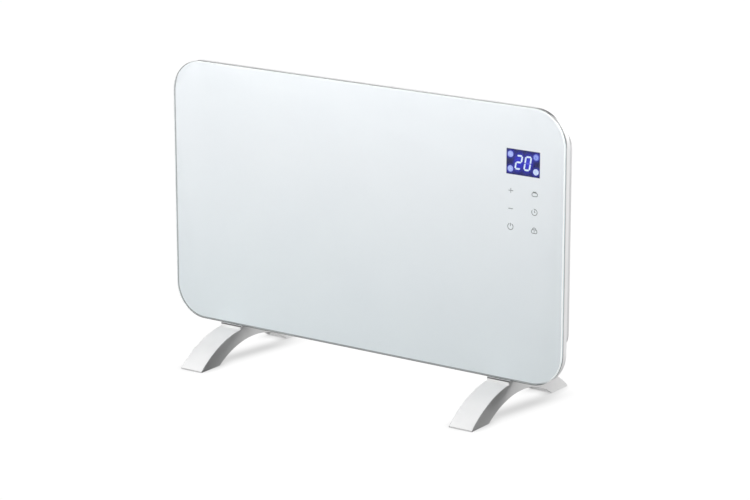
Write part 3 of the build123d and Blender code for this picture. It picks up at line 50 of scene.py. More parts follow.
def place_camera():
    """The camera that was fitted to the photograph's edges."""
    forward = Vector((-sin(AZIMUTH) * cos(ELEVATION), cos(AZIMUTH) * cos(ELEVATION), -sin(ELEVATION)))
    level = Vector((cos(AZIMUTH), sin(AZIMUTH), 0))
    upright = level.cross(forward)
    right = cos(ROLL) * level + sin(ROLL) * upright
    up = right.cross(forward)
    camera = bpy.data.objects.new("camera", bpy.data.cameras.new("camera"))
    camera.data.sensor_width = SENSOR_MM
    camera.data.lens = FOCAL_PX * SENSOR_MM / WIDTH_PX
    camera.data.clip_end = FARTHEST
    turn = Matrix((right, up, -forward)).transposed().to_4x4()
    camera.matrix_world = Matrix.Translation(CAMERA_AT) @ turn
    scene.collection.objects.link(camera)
    scene.camera = camera


# ------------------------------------------------------------------ node tools
MIX_COLOURS = (0, 6, 7)     # the factor and the two colours among the Mix node's sockets
MIX_RESULT = 2


class Tree:
    """A node tree that is written in short lines. Places are in metres of the row frame."""

    def __init__(self, owner):
        owner.use_nodes = True
        self.tree = owner.node_tree
        self.tree.nodes.clear()

    def add(self, kind, sockets=None, **settings):
        node = self.tree.nodes.new("ShaderNode" + kind)
        for key, value in settings.items():
            setattr(node, key, value)
        for key, value in (sockets or {}).items():
            self.feed(node.inputs[key], value)
        return node

    def feed(self, socket, value):
        if isinstance(value, bpy.types.NodeSocket):
            self.tree.links.new(value, socket)
        else:
            socket.default_value = value

    def math(self, operation, *values):
        node = self.add("Math", operation=operation)
        for socket, value in zip(node.inputs, values):
            self.feed(socket, value)
        return node.outputs[0]

    def product(self, first, *others):
        for other in others:
            first = self.math("MULTIPLY", first, other)
        return first

    def place(self, origin=None):
        """The x, y and z of the point on the object, from the origin if there is one."""
        where = self.add("TexCoord").outputs["Object"]
        if origin is not None:
            where = self.add("VectorMath", {0: where, 1: origin}, operation="SUBTRACT").outputs[0]
        return self.add("SeparateXYZ", {0: where}).outputs

    def normal(self):
        """How far the surface faces along the object's x, y and z, each from -1 to 1."""
        return self.add("SeparateXYZ", {0: self.add("TexCoord").outputs["Normal"]}).outputs

    def lean(self, axis):
        """How far the surface faces along one of the object's axes, either way, from 0 to 1."""
        return self.math("ABSOLUTE", self.normal()[axis])

    def at(self, scale=(1, 1, 1)):
        """The point on the object as a vector, scaled per axis."""
        where = self.add("TexCoord").outputs["Object"]
        return self.add("Mapping", {"Vector": where, "Scale": scale}).outputs[0]

    def noise(self, vector, scale, detail=2.0, roughness=0.5):
        return self.add("TexNoise", {"Vector": vector, "Scale": scale, "Detail": detail,
                                     "Roughness": roughness}).outputs["Fac"]

    def fit(self, value, low, high, start=0.0, end=1.0, smooth=False):
        """From low to high, as the value goes from start to end."""
        kind = "SMOOTHSTEP" if smooth else "LINEAR"
        return self.add("MapRange", {"Value": value, "From Min": start, "From Max": end,
                                     "To Min": low, "To Max": high}, interpolation_type=kind).outputs[0]

    def blend(self, factor, a, b, kind="MIX"):
        node = self.add("Mix", data_type="RGBA", blend_type=kind)
        for index, value in zip(MIX_COLOURS, (factor, a, b)):
            opaque = isinstance(value, tuple) and len(value) == 3
            self.feed(node.inputs[index], value + (1,) if opaque else value)
        return node.outputs[MIX_RESULT]

    def shaded(self, colour, share):
        return self.blend(1.0, colour, share, "MULTIPLY")

    def bump(self, height, distance):
        return self.add("Bump", {"Height": height, "Distance": distance}).outputs[0]

    def surface(self, sockets):
        return self.add("BsdfPrincipled", sockets).outputs[0]

    def end(self, surface):
        self.tree.links.new(surface, self.add("OutputMaterial").inputs["Surface"])


def new_material(name):
    material = bpy.data.materials.new(name)
    return material, Tree(material)


# ------------------------------------------------------------------ shares: painted light and shade
# A share multiplies a finish's colour with painted light and shade, so that its tone changes over the object as
# the lamps would light and shade it. In a pair are the two shares, or the two places or turns of the surface
# between which they change.
# painted shade on the feet: greyer sides and tops, a shadow line under the pane and a contact shadow at the toes
FOOT_SIDE_SHADE, FOOT_LENGTH, FOOT_TURN = (0.365, 0.87), (-0.13, 0.13), (0.3, 0.85)
FOOT_TOP_SHADE, FOOT_RISE = (1.0, 0.89), (0.004, 0.045)
GAP_SHADOW_SHARE, GAP_SHADOW_FRONT = 0.16, (-0.0330, -0.0325)
GAP_SHADOW_BOTTOM, GAP_SHADOW_TOP = (0.0508, 0.0512), (0.053, 0.054)
TOE_SHADOW_SHARE, TOE_LENGTH, TOE_RISE = (0.6, 1.0), (-0.130, -0.110), (0.0016, 0.0026)


def foot_painted_shade(t):
    """Painted shade: sides greyer towards the front, tops greyer as they rise, painted shadow lines under the
    pane and at the toes.
    """
    _, y, z = t.place()
    sideways = t.lean(0)
    side = t.fit(sideways, 1.0, t.fit(y, *FOOT_SIDE_SHADE, *FOOT_LENGTH), *FOOT_TURN, True)
    top = t.fit(sideways, t.fit(z, *FOOT_TOP_SHADE, *FOOT_RISE), 1.0)
    # a painted shadow line under the pane, and a painted contact shadow at the toes
    height = t.product(t.fit(z, 0, 1, *GAP_SHADOW_BOTTOM), t.fit(z, 1, 0, *GAP_SHADOW_TOP))
    gap_shadow = t.product(t.fit(y, 1, 0, *GAP_SHADOW_FRONT), height)
    toe_shadow = t.fit(z, t.fit(y, *TOE_SHADOW_SHARE, *TOE_LENGTH), 1.0, *TOE_RISE)
    return t.product(side, t.product(top, toe_shadow, t.fit(gap_shadow, 1.0, GAP_SHADOW_SHARE)))


# painted shadow on the tray: a grey strip along the front of its top next to the pane, and a darker line round
# its upper right corner
SHADOW_STRIP_DEPTH, SHADOW_STRIP_TURN = (-0.0245, -0.0215), (0.6, 0.9)
SHADOW_STRIP_LOSS, SHADOW_STRIP_CORNER = (0.38, 0.92), (0.0, 0.2)
TRAY_SHADOW_LOSS, TRAY_SHADOW_DEPTH = 0.65, (-0.0266, -0.0260)
TRAY_SHADOW_RIGHT, TRAY_SHADOW_UP = (0.3, 0.6), (-0.1, 0.3)


def tray_painted_shade(t):
    """Painted shadow on the tray's rim behind the pane: a grey strip along the front of its top, darker round its
    right corner.
    """
    y = t.place()[1]
    nx, _, nz = t.normal()
    shadow_strip = t.product(t.fit(y, 1, 0, *SHADOW_STRIP_DEPTH), t.fit(nz, 0, 1, *SHADOW_STRIP_TURN, True))
    top = t.product(shadow_strip, t.fit(nx, *SHADOW_STRIP_LOSS, *SHADOW_STRIP_CORNER, True))
    gap_shadow = t.product(t.fit(y, TRAY_SHADOW_LOSS, 0, *TRAY_SHADOW_DEPTH), t.fit(nx, 0, 1, *TRAY_SHADOW_RIGHT),
                     t.fit(nz, 0, 1, *TRAY_SHADOW_UP))
    return t.math("SUBTRACT", 1.0, t.math("MAXIMUM", top, gap_shadow))


# painted shade on the casing where it faces up or down, darkest round its corners
CASING_SHADE, CASING_TURN = (1.0, 0.6), (0.0, 0.75)
CORNER_SHADE, CORNER_MIDDLE, CORNER_REACH = (0.6, 1.0), 0.5, (0.1, 0.38)


def casing_painted_shade(t):
    """Painted shade: the casing is greyer where it faces up or down, and darkest round its corners."""
    tilt = t.lean(2)
    off_corner = t.math("ABSOLUTE", t.math("SUBTRACT", tilt, CORNER_MIDDLE))
    corner = t.fit(off_corner, *CORNER_SHADE, *CORNER_REACH, True)
    return t.product(t.fit(tilt, *CASING_SHADE, *CASING_TURN, True), corner)


PANE_X, PANE_Z = (-0.37, 0.37), (0.053, 0.483)
PANE_MID_Z, PANE_FLAT = 0.268, (0.315, 0.160)       # PANE_FLAT: half of what lies between the round corners
# painted light on the enamel: paler upwards and towards the left, a cool shade low down
PAINTED_LIGHT_UP, PAINTED_LIGHT_ACROSS = (0.935, 1.0), (1.0, 0.981)
COOL_SHADE_TINT, COOL_SHADE_RISE = (0.965, 1.0, 1.0), (0.053, 0.35)
# painted shadow: a grey rim along the pane's lower and left edges
SHADOW_RIM_SIDE, SHADOW_RIM_REACH = (-0.04, -0.01), (0.0515, 0.0527)
SHADOW_RIM_SHARE, SHADOW_RIM_WAY = (0.2, 0.42), (-0.072, -0.058)


def enamel_painted_light(t):
    """Painted light and shade: the enamel pales upwards and towards the left, with a cool shade low down and a
    painted grey shadow rim along the pane's lower and left edges.
    """
    x, _, height = t.place()
    field = t.product(t.fit(height, *PAINTED_LIGHT_UP, *PANE_Z), t.fit(x, *PAINTED_LIGHT_ACROSS, *PANE_X))
    tint = t.blend(t.fit(height, 0, 1, *COOL_SHADE_RISE), COOL_SHADE_TINT, (1.0, 1.0, 1.0))
    z = t.math("SUBTRACT", height, PANE_MID_Z)
    out_x, out_z = (t.math("MAXIMUM", t.math("SUBTRACT", t.math("ABSOLUTE", off), flat), 0)
                    for off, flat in zip((x, z), PANE_FLAT))
    reach = t.math("SQRT", t.math("ADD", t.product(out_x, out_x), t.product(out_z, out_z)))
    towards = t.math("ADD", t.product(out_x, t.math("SIGN", x)), t.product(out_z, t.math("SIGN", z)))
    rim = t.product(t.fit(towards, 1, 0, *SHADOW_RIM_SIDE, True), t.fit(reach, 0, 1, *SHADOW_RIM_REACH, True))
    shade = t.product(field, t.fit(rim, 1.0, t.fit(towards, *SHADOW_RIM_SHARE, *SHADOW_RIM_WAY)))
    return t.shaded(tint, shade)


# ------------------------------------------------------------------ finishes of one coat
CLOUD_PART, GRAIN_PART, TONE_RANGE, GLOSS_RANGE = 0.7, 0.3, (0.35, 0.65), (0.3, 0.7)
SOCKETS = {"metallic": "Metallic", "specular": "Specular IOR Level"}

# Two colours, the scales of the clouds and of the grain, the roughness, the relief in metres, and what else.
COATS = {
    "white_enamel": (((0.913, 0.929, 0.960), (0.929, 0.945, 0.970), 9, 1400, (0.32, 0.42), 0.00001),
                     {"share": enamel_painted_light, "specular": 0.2}),
    "icon_ink": (((0.16, 0.175, 0.18), (0.24, 0.25, 0.255), 260, 2600, (0.45, 0.6), 0.00001), {}),
    "grey_ink": (((0.62, 0.62, 0.62), (0.72, 0.72, 0.72), 400, 2400, (0.45, 0.6), 0.00001), {}),
    "adhesive": (((0.70, 0.70, 0.68), (0.78, 0.78, 0.76), 60, 700, (0.45, 0.6), 0.00008), {}),
    "white_steel": (((0.82, 0.82, 0.825), (0.86, 0.86, 0.865), 12, 850, (0.36, 0.5), 0.00006),
                    {"share": tray_painted_shade}),
    # the casing's paint: a darker copy of the tray's white steel, which paints shade into the casing
    "shaded_casing_paint": (((0.61, 0.61, 0.62), (0.65, 0.65, 0.66), 12, 850, (0.36, 0.5), 0.00006),
                     {"share": casing_painted_shade}),
    "zinc_steel": (((0.50, 0.51, 0.53), (0.66, 0.66, 0.66), 220, 2400, (0.22, 0.42), 0.00002),
                   {"metallic": 1.0}),
    "rod_steel": (((0.16, 0.15, 0.14), (0.27, 0.25, 0.23), 90, 1800, (0.38, 0.6), 0.00003),
                  {"stretch": (0.05, 1, 1), "metallic": 0.9}),
    "fin_aluminium": (((0.58, 0.59, 0.60), (0.72, 0.73, 0.74), 60, 2200, (0.25, 0.42), 0.00003),
                      {"stretch": (0.03, 1, 1), "metallic": 1.0}),
    "shield_aluminium": (((0.70, 0.71, 0.72), (0.80, 0.81, 0.82), 50, 1900, (0.18, 0.34), 0.00003),
                         {"stretch": (1, 1, 0.03), "metallic": 1.0}),
    "brass": (((0.58, 0.40, 0.14), (0.74, 0.55, 0.24), 240, 2200, (0.2, 0.4), 0.00002), {"metallic": 1.0}),
    "bushing_ceramic": (((0.74, 0.70, 0.60), (0.84, 0.81, 0.74), 160, 1500, (0.55, 0.75), 0.00006), {}),
    "white_plastic": (((0.87, 0.87, 0.87), (0.915, 0.915, 0.915), 24, 1500, (0.34, 0.48), 0.00005),
                      {"share": foot_painted_shade, "specular": 0.3}),
    "grey_plastic": (((0.34, 0.35, 0.36), (0.41, 0.42, 0.43), 90, 1700, (0.38, 0.52), 0.00005), {}),
    "black_plastic": (((0.018, 0.018, 0.02), (0.04, 0.04, 0.044), 110, 1700, (0.36, 0.55), 0.00005), {}),
    "relay_case": (((0.03, 0.07, 0.22), (0.05, 0.11, 0.30), 70, 1300, (0.2, 0.35), 0.00003), {}),
    "capacitor_case": (((0.55, 0.36, 0.05), (0.66, 0.46, 0.08), 90, 1400, (0.22, 0.38), 0.00003), {}),
    "terminal_plastic": (((0.06, 0.22, 0.10), (0.09, 0.29, 0.14), 110, 1500, (0.34, 0.5), 0.00004), {}),
    "conductive_rubber": (((0.05, 0.05, 0.052), (0.085, 0.085, 0.088), 260, 2000, (0.6, 0.8), 0.00006), {}),
    "sole_rubber": (((0.10, 0.10, 0.105), (0.16, 0.16, 0.165), 150, 1300, (0.65, 0.85), 0.00012), {}),
    "lead_insulation": (((0.62, 0.61, 0.58), (0.74, 0.73, 0.70), 300, 1600, (0.45, 0.65), 0.00005), {}),
}


def coated(name, low, high, cloud, grain, rough, depth, stretch=(1, 1, 1), share=None, **shader):
    """A moulded, painted or metal finish: slow tone changes, fine grain in the gloss and the relief."""
    material, t = new_material(name)
    point = t.at(stretch)
    tone = t.noise(point, cloud, 3)
    fine = t.noise(point, grain, 3, 0.6)
    mottle = t.math("ADD", t.product(tone, CLOUD_PART), t.product(fine, GRAIN_PART))
    colour = t.blend(t.fit(mottle, 0, 1, *TONE_RANGE), low, high)
    # painted light and shade, multiplied into the colour
    if share:
        colour = t.shaded(colour, share(t))
    sockets = {"Base Color": colour, "Roughness": t.fit(fine, *rough, *GLOSS_RANGE),
               "Normal": t.bump(fine, depth)}
    sockets.update({SOCKETS[key]: value for key, value in shader.items()})
    t.end(t.surface(sockets))
    return material


# ------------------------------------------------------------------ glass
GLASS_IOR = 1.5
# painted shade on the pane's ground sides where they face up or down
GLASS_SIDE_SHADE, SIDE_TURN = (1.0, 0.10), (0.0, 0.42)
# painted shade on the bevel's left and lower parts, and a painted highlight that glows on its right
BEVEL_RIGHT, BEVEL_SHADE, BEVEL_TURN = 1.2, (0.22, 1.0), (-0.45, -0.02)
LOW_LEFT_SHADE, LOW_LEFT_TURN = (0.4, 1.0), (-0.98, -0.72)
BEVEL_PAINTED_GLINT, GLINT_TURN = (0.0, 0.45), (0.3, 0.6)
SIDE_TO_BEVEL, BEVEL_TO_FACE = (0.35, 0.55), (0.85, 0.95)


def glass_face(t, point):
    """The clear faces: a slow tint, faint smears in the gloss, a slow wave in the relief."""
    tint = t.fit(t.noise(point, 5), 0, 1, 0.3, 0.7)
    smear = t.noise(point, 14, 4, 0.6)
    return t.surface({
        "Base Color": t.blend(tint, (0.972, 0.985, 0.984), (0.98, 0.99, 0.99)),
        "Roughness": t.fit(smear, 0.0, 0.03, 0.35, 0.7), "IOR": GLASS_IOR, "Transmission Weight": 1.0,
        "Normal": t.bump(t.noise(point, 9), 0.00003)})


def glass_side(t, grit):
    """The ground sides: grey, with painted shade where they face up or down."""
    tone = t.blend(grit, (0.36, 0.40, 0.42), (0.43, 0.47, 0.49))
    return t.surface({
        "Base Color": t.shaded(tone, t.fit(t.lean(2), *GLASS_SIDE_SHADE, *SIDE_TURN, True)),
        "Roughness": t.fit(grit, 0.25, 0.45), "Normal": t.bump(grit, 0.00004)})


def glass_bevel(t, grit):
    """The bevel: pale, with painted shade on the left and below, and a painted highlight on the right that glows
    a little.
    """
    nx, _, nz = t.normal()
    tone = t.blend(grit, (0.84, 0.88, 0.88), (0.90, 0.93, 0.93))
    lit_way = t.math("ADD", nz, t.product(t.math("MAXIMUM", nx, 0), BEVEL_RIGHT))
    edge = t.fit(t.math("MINIMUM", nx, lit_way), *BEVEL_SHADE, *BEVEL_TURN, True)
    low_left = t.fit(t.math("ADD", nx, nz), *LOW_LEFT_SHADE, *LOW_LEFT_TURN, True)
    return t.surface({
        "Base Color": t.shaded(tone, t.product(edge, low_left)), "Roughness": t.fit(grit, 0.2, 0.35),
        # painted highlight: the bevel glows a little where it faces right
        "Emission Color": (0.92, 0.98, 1.0, 1.0),
        "Emission Strength": t.fit(nx, *BEVEL_PAINTED_GLINT, *GLINT_TURN, True), "Normal": t.bump(grit, 0.00003)})


def clear_glass():
    """Toughened clear pane with a bevel and ground sides, which lets shadow and diffuse rays through."""
    material, t = new_material("clear_glass")
    point = t.at()
    grit = t.noise(point, 2400, 3, 0.6)
    forward = t.lean(1)
    ground = t.add("MixShader", {0: t.fit(forward, 0, 1, *SIDE_TO_BEVEL, True),
                                 1: glass_side(t, grit), 2: glass_bevel(t, grit)}).outputs[0]
    pane = t.add("MixShader", {0: t.fit(forward, 0, 1, *BEVEL_TO_FACE, True),
                               1: ground, 2: glass_face(t, point)}).outputs[0]
    path = t.add("LightPath")
    passing = t.math("MAXIMUM", path.outputs["Is Shadow Ray"], path.outputs["Is Diffuse Ray"])
    open_way = t.add("BsdfTransparent", {"Color": (0.965, 0.975, 0.975, 1)}).outputs[0]
    t.end(t.add("MixShader", {0: passing, 1: pane, 2: open_way}).outputs[0])
    return material


# ------------------------------------------------------------------ display
DISPLAY_MID = Vector((0.296, -0.0287, 0.397))
WINDOW_HALF = (0.0300, 0.0202)
FRONT_SKIN = 0.0001             # how far behind the display's face still counts as its face
DIGIT_PITCH = 15.7 * MM
DIGIT_SLANT = tan(radians(9.5))
LAMP_OFF = (22.4 * MM, 11.2 * MM)
LAMPS_BEYOND = 0.0168           # what is lit farther than this from the middle is a lamp, not a digit
DIGIT_HALO, LAMP_HALO, HALO_POWER = (0.0095, 0.0155), (0.0066, 0.0066), 2.4
CELL, CELL_GAP, CELL_PART = 0.0006, 0.00003, 0.35
FIELD_LIGHT = 0.95
DIM_SPECULAR = 0.05
UNLIT_BASE = (0.004, 0.004, 0.01, 1)
INK_GRAIN = 1500


def display_glow(t, x, z):
    """How lit the display's field is: a soft halo round each digit and each lamp."""
    slanted = t.math("SUBTRACT", x, t.product(z, DIGIT_SLANT))

    def halo(middle_x, middle_z, half):
        across = t.math("DIVIDE", t.math("SUBTRACT", slanted, middle_x), half[0])
        up = t.math("DIVIDE", t.math("SUBTRACT", z, middle_z), half[1])
        off = t.math("ADD", *(t.math("POWER", t.math("ABSOLUTE", way), HALO_POWER) for way in (across, up)))
        return t.math("EXPONENT", t.product(off, -1.0))

    glow = t.math("MAXIMUM", *(halo(side * DIGIT_PITCH / 2, 0, DIGIT_HALO) for side in (-1, 1)))
    for side in (-1, 1):
        for level in (-1, 1):
            lamp_z = level * LAMP_OFF[1]
            lamp_x = side * LAMP_OFF[0] - lamp_z * DIGIT_SLANT
            glow = t.math("MAXIMUM", glow, halo(lamp_x, lamp_z, LAMP_HALO))
    return glow


def display_body():
    """Liquid crystal panel: blue field lit from behind, dark towards its edges, haloes round what is lit."""
    material, t = new_material("display_body")
    x, _, z = t.place(DISPLAY_MID)
    cells = t.add("TexBrick", {"Vector": t.at(), "Color1": (1, 1, 1, 1), "Color2": (0.93, 0.93, 0.96, 1),
                               "Mortar": (0.6, 0.6, 0.7, 1), "Scale": 1.0, "Mortar Size": CELL_GAP,
                               "Brick Width": CELL, "Row Height": CELL})
    glow = t.fit(display_glow(t, x, z), 0, 1, 0.02, 0.95, True)
    field = t.blend(glow, (0.003, 0.004, 0.075), (0.020, 0.022, 0.66))
    field = t.blend(t.fit(t.noise(t.at(), 160, 2), 0, 0.25, 0.4, 0.7), field, (0.006, 0.008, 0.27))
    window_x, window_z = (t.math("LESS_THAN", t.math("ABSOLUTE", off), half)
                          for off, half in zip((x, z), WINDOW_HALF))
    front = t.math("LESS_THAN", t.place()[1], DISPLAY_MID.y + FRONT_SKIN)
    on = t.product(window_x, window_z, front)
    grain = t.noise(t.at(), 900, 2)
    case = t.blend(grain, (0.02, 0.02, 0.022), (0.05, 0.05, 0.055))
    lit = t.blend(CELL_PART, field, cells.outputs[0], "MULTIPLY")
    t.end(t.surface({
        "Base Color": t.blend(on, case, (0.002, 0.002, 0.008)), "Roughness": t.fit(grain, 0.25, 0.45),
        "Specular IOR Level": DIM_SPECULAR, "Emission Color": lit,
        "Emission Strength": t.product(on, FIELD_LIGHT), "Normal": t.bump(grain, 0.00002)}))
    return material


def glowing(t, base, roughness, colour, strength):
    return t.surface({"Base Color": base, "Roughness": roughness, "Specular IOR Level": DIM_SPECULAR,
                      "Emission Color": colour, "Emission Strength": strength})


def display_light():
    """Digits near white, lamps lavender: dimmer at the upper right, whiter at the lower right."""
    material, t = new_material("display_light")
    x, _, z = t.place(DISPLAY_MID)
    patch = t.noise(t.at(), 420, 2)
    spread = t.fit(patch, 0, 1, *TONE_RANGE)
    digits = t.blend(spread, (0.68, 0.82, 1.0), (0.86, 0.95, 1.0))
    left = t.blend(spread, (0.34, 0.41, 0.93), (0.46, 0.55, 1.0))
    upper_right = t.blend(spread, (0.14, 0.19, 0.74), (0.22, 0.29, 0.86))
    lower_right = t.blend(spread, (0.60, 0.71, 0.97), (0.74, 0.86, 1.0))
    right = t.blend(t.math("LESS_THAN", z, 0), upper_right, lower_right)
    lamps = t.blend(t.math("GREATER_THAN", x, 0), left, right)
    is_lamp = t.math("GREATER_THAN", t.math("ABSOLUTE", x), LAMPS_BEYOND)
    t.end(glowing(t, UNLIT_BASE, 0.3, t.blend(is_lamp, digits, lamps), t.fit(patch, 0.92, 1.02)))
    return material


def lamp_ink():
    """Bright print on the lamps: whiter than the lit discs, with the print's grain."""
    material, t = new_material("lamp_ink")
    grain = t.noise(t.at(), INK_GRAIN, 2)
    t.end(glowing(t, (0.01, 0.01, 0.02, 1), t.fit(grain, 0.3, 0.4),
                  t.blend(grain, (0.50, 0.60, 0.98), (0.66, 0.76, 1.0)), t.fit(grain, 0.9, 1.05)))
    return material


def unlit_segment():
    """A segment that is off: a shade lighter than the field that lights it from behind."""
    material, t = new_material("unlit_segment")
    grain = t.noise(t.at(), INK_GRAIN, 2)
    t.end(glowing(t, UNLIT_BASE, 0.3, t.blend(grain, (0.08, 0.09, 0.72), (0.11, 0.12, 0.80)),
                  t.fit(grain, 0.9, 1.0)))
    return material


# ------------------------------------------------------------------ ribbon and boards
# the second number: the part of the way from a groove to a conductor's crest that the painted groove shade
# reaches
RIBBON_PITCH, GROOVE_SHADE_EDGE = 1.27 * MM, 0.9
TRACK_WAVE = 2100.0             # radians per metre, so the tracks are 3 mm apart


def ribbon_insulation():
    """Side-by-side conductors, whose insulation has painted shade in the grooves between them."""
    material, t = new_material("ribbon_insulation")
    wave = t.math("ABSOLUTE", t.math("SINE", t.product(t.place()[0], pi / RIBBON_PITCH)))
    fine = t.noise(t.at(), 900, 2)
    tone = t.product(t.fit(wave, 0, 1, 0, GROOVE_SHADE_EDGE, True), t.fit(fine, 0.8, 1.0))
    t.end(t.surface({"Base Color": t.blend(tone, (0.22, 0.23, 0.25), (0.45, 0.46, 0.49)),
                     "Roughness": t.fit(fine, 0.4, 0.55), "Normal": t.bump(wave, 0.0003)}))
    return material


def circuit_board():
    """Green solder mask with copper runs showing through it and tinned pads."""
    material, t = new_material("circuit_board")
    point = t.at()
    x, _, z = t.place()
    along_x, along_z = (t.math("SINE", t.product(way, TRACK_WAVE)) for way in (x, z))
    run = t.blend(t.math("GREATER_THAN", t.noise(point, 45, 0), 0.5), along_x, along_z)
    run = t.fit(run, 0, 1, 0.3, 0.5, True)
    flat = t.at((1, 0, 1))
    spots = t.add("TexVoronoi", {"Vector": flat, "Scale": 190.0, "Randomness": 0.6}).outputs["Distance"]
    pad = t.fit(spots, 1, 0, 0.10, 0.14)
    mask = t.blend(run, (0.008, 0.085, 0.028), (0.018, 0.17, 0.055))
    grit = t.noise(point, 1200, 2)
    t.end(t.surface({
        "Base Color": t.blend(pad, mask, (0.62, 0.63, 0.62)), "Metallic": t.product(pad, 0.9),
        "Roughness": t.fit(grit, 0.28, 0.42), "Normal": t.bump(t.math("ADD", run, pad), 0.00005)}))
    return material


# the casing takes the darker, shaded copy of the white steel
OTHER_FINISH = {"rear_casing": "shaded_casing_paint"}


def all_materials():
    """A finish for each of the record's slots, and besides those the casing's paint, a darker copy of the white
    steel that paints shade into it, and the rocker marks' ink.
    """
    materials = {name: coated(name, *row, **more) for name, (row, more) in COATS.items()}
    for make in (clear_glass, display_body, display_light, ribbon_insulation, circuit_board):
        materials[make.__name__] = make()
    return materials


# ------------------------------------------------------------------ pieces
def strokes(name, lines, width, thick, plane, body, material):
    """Raised or printed lines on a flat face: each line is its points and whether it closes on itself."""
    origin, across, up = (Vector(part) for part in plane)
    out = across.cross(up)
    mesh = bmesh.new()
    for points, closed in lines:
        points = [Vector(point) for point in points]
        last = len(points) - 1
        rims = []
        for n, point in enumerate(points):
            before = points[n - 1] if n or closed else point
            after = points[(n + 1) % (last + 1)] if n < last or closed else point
            ahead = (after - before).normalized()
            side = Vector((-ahead.y, ahead.x)) * width / 2
            rim = []
            for sign, lift in ((1, 0), (-1, 0), (-1, thick), (1, thick)):
                u, v = point + sign * side
                rim.append(mesh.verts.new(origin + u * across + v * up + lift * out))
            rims.append(rim)
        for n in range(last + 1 if closed else last):
            near, far = rims[n], rims[(n + 1) % (last + 1)]
            for k in range(4):
                mesh.faces.new((near[k], near[(k + 1) % 4], far[(k + 1) % 4], far[k]))
        if not closed:
            mesh.faces.new(rims[0])
            mesh.faces.new(rims[-1])
    bmesh.ops.recalc_face_normals(mesh, faces=mesh.faces)
    data = bpy.data.meshes.new(name)
    mesh.to_mesh(data)
    mesh.free()
    data.materials.append(material)
    piece = bpy.data.objects.new(name, data)
    scene.collection.objects.link(piece)
    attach(piece, body)


RING_POINTS = 24


def arc(radius, start, end, count, middle=(0, 0)):
    """Points on an arc, its angles in degrees."""
    angles = [radians(start + (end - start) * n / (count - 1)) for n in range(count)]
    return [(middle[0] + radius * cos(angle), middle[1] + radius * sin(angle)) for angle in angles]


def ring(radius):
    return arc(radius, 0, 360 - 360 / RING_POINTS, RING_POINTS), True


def sun_lines():
    """A disc and eight rays."""
    near, far = 1.9 * MM, 3.1 * MM
    turns = [radians(45 * n) for n in range(8)]
    rays = [([(near * cos(a), near * sin(a)), (far * cos(a), far * sin(a))], False) for a in turns]
    return [ring(1.2 * MM)] + rays


def clock_lines():
    """A dial and its two hands."""
    return [ring(2.6 * MM), ([(0, 1.7 * MM), (0, 0), (1.3 * MM, -0.4 * MM)], False)]


def fan_lines():
    """Three curved blades round a hub."""
    blades = []
    for n in range(3):
        turn = radians(120 * n + 30)
        blade = arc(1.5 * MM, -160, 20, 9, (1.6 * MM, 0))
        turned = [(u * cos(turn) - v * sin(turn), u * sin(turn) + v * cos(turn)) for u, v in blade]
        blades.append((turned, False))
    return blades + [ring(0.55 * MM)]


def wave_lines():
    """Three rising waves of warm air, each of eleven points."""
    swing, beat, step, half = 0.45, 2.2, 0.55, 2.75
    return [([((off + swing * sin(beat * n)) * MM, (n * step - half) * MM) for n in range(11)], False)
            for off in (-1.7, 0, 1.7)]


SIGN_WIDTH, SIGN_THICK, SIGN_GAP = 0.5 * MM, 0.04 * MM, 0.00021
BAR_HALF, BAR_WIDTH, BAR_THICK = 3.3 * MM, 2.2 * MM, 0.1 * MM


def display_marks(ink, faint):
    """The signs on the four lamps, and the unlit middle bar of the nought."""
    face = DISPLAY_MID.y - SIGN_GAP
    signs = {"sun": (-1, 1, sun_lines()), "clock": (1, 1, clock_lines()),
             "fan": (-1, -1, fan_lines()), "warm_air": (1, -1, wave_lines())}
    for name, (side, level, lines) in signs.items():
        middle = (DISPLAY_MID.x + side * LAMP_OFF[0], face, DISPLAY_MID.z + level * LAMP_OFF[1])
        strokes(name + "_sign", lines, SIGN_WIDTH, SIGN_THICK, (middle, (1, 0, 0), (0, 0, 1)),
                "panel", ink)
    middle = (DISPLAY_MID.x + DIGIT_PITCH / 2, DISPLAY_MID.y, DISPLAY_MID.z)
    strokes("unlit_bar", [([(-BAR_HALF, 0), (BAR_HALF, 0)], False)], BAR_WIDTH, BAR_THICK,
            (middle, (1, 0, 0), (DIGIT_SLANT, 0, 1)), "panel", faint)


ROCKER_AT = Vector((0.297, 0.033, 0.118))
ON_BAR_AT = ROCKER_AT + Vector((0, 3.9, 6.1)) * MM
OFF_RING_AT = ROCKER_AT + Vector((0, 5.9, -4.2)) * MM
UPPER_WING, LOWER_WING = (0, 0, 1), (0, -0.3744, 0.9272)        # which way is up on each wing of the rocker
MARK_HALF = 1.7 * MM


def rocker_marks(ink):
    """The bar and the ring on the rocker's two wings."""
    strokes("rocker_on_bar", [([(0, -MARK_HALF), (0, MARK_HALF)], False)], 0.8 * MM, 0.12 * MM,
            (ON_BAR_AT, (-1, 0, 0), UPPER_WING), "switch_rocker", ink)
    strokes("rocker_off_ring", [ring(MARK_HALF)], 0.7 * MM, 0.16 * MM,
            (OFF_RING_AT, (-1, 0, 0), LOWER_WING), "switch_rocker", ink)


def dress_nodes(materials):
    """Each CAD node gets the finish of its slot in the record, or the one that is named for it."""
    slot_of = {part["node"]: part["material_slot"] for part in frame["record"]["subparts"]}
    for name, node in frame["nodes"].items():
        finish = materials[OTHER_FINISH.get(name, slot_of[name])]
        if not node.material_slots:
            node.data.materials.append(finish)
        for slot in node.material_slots:
            slot.material = finish


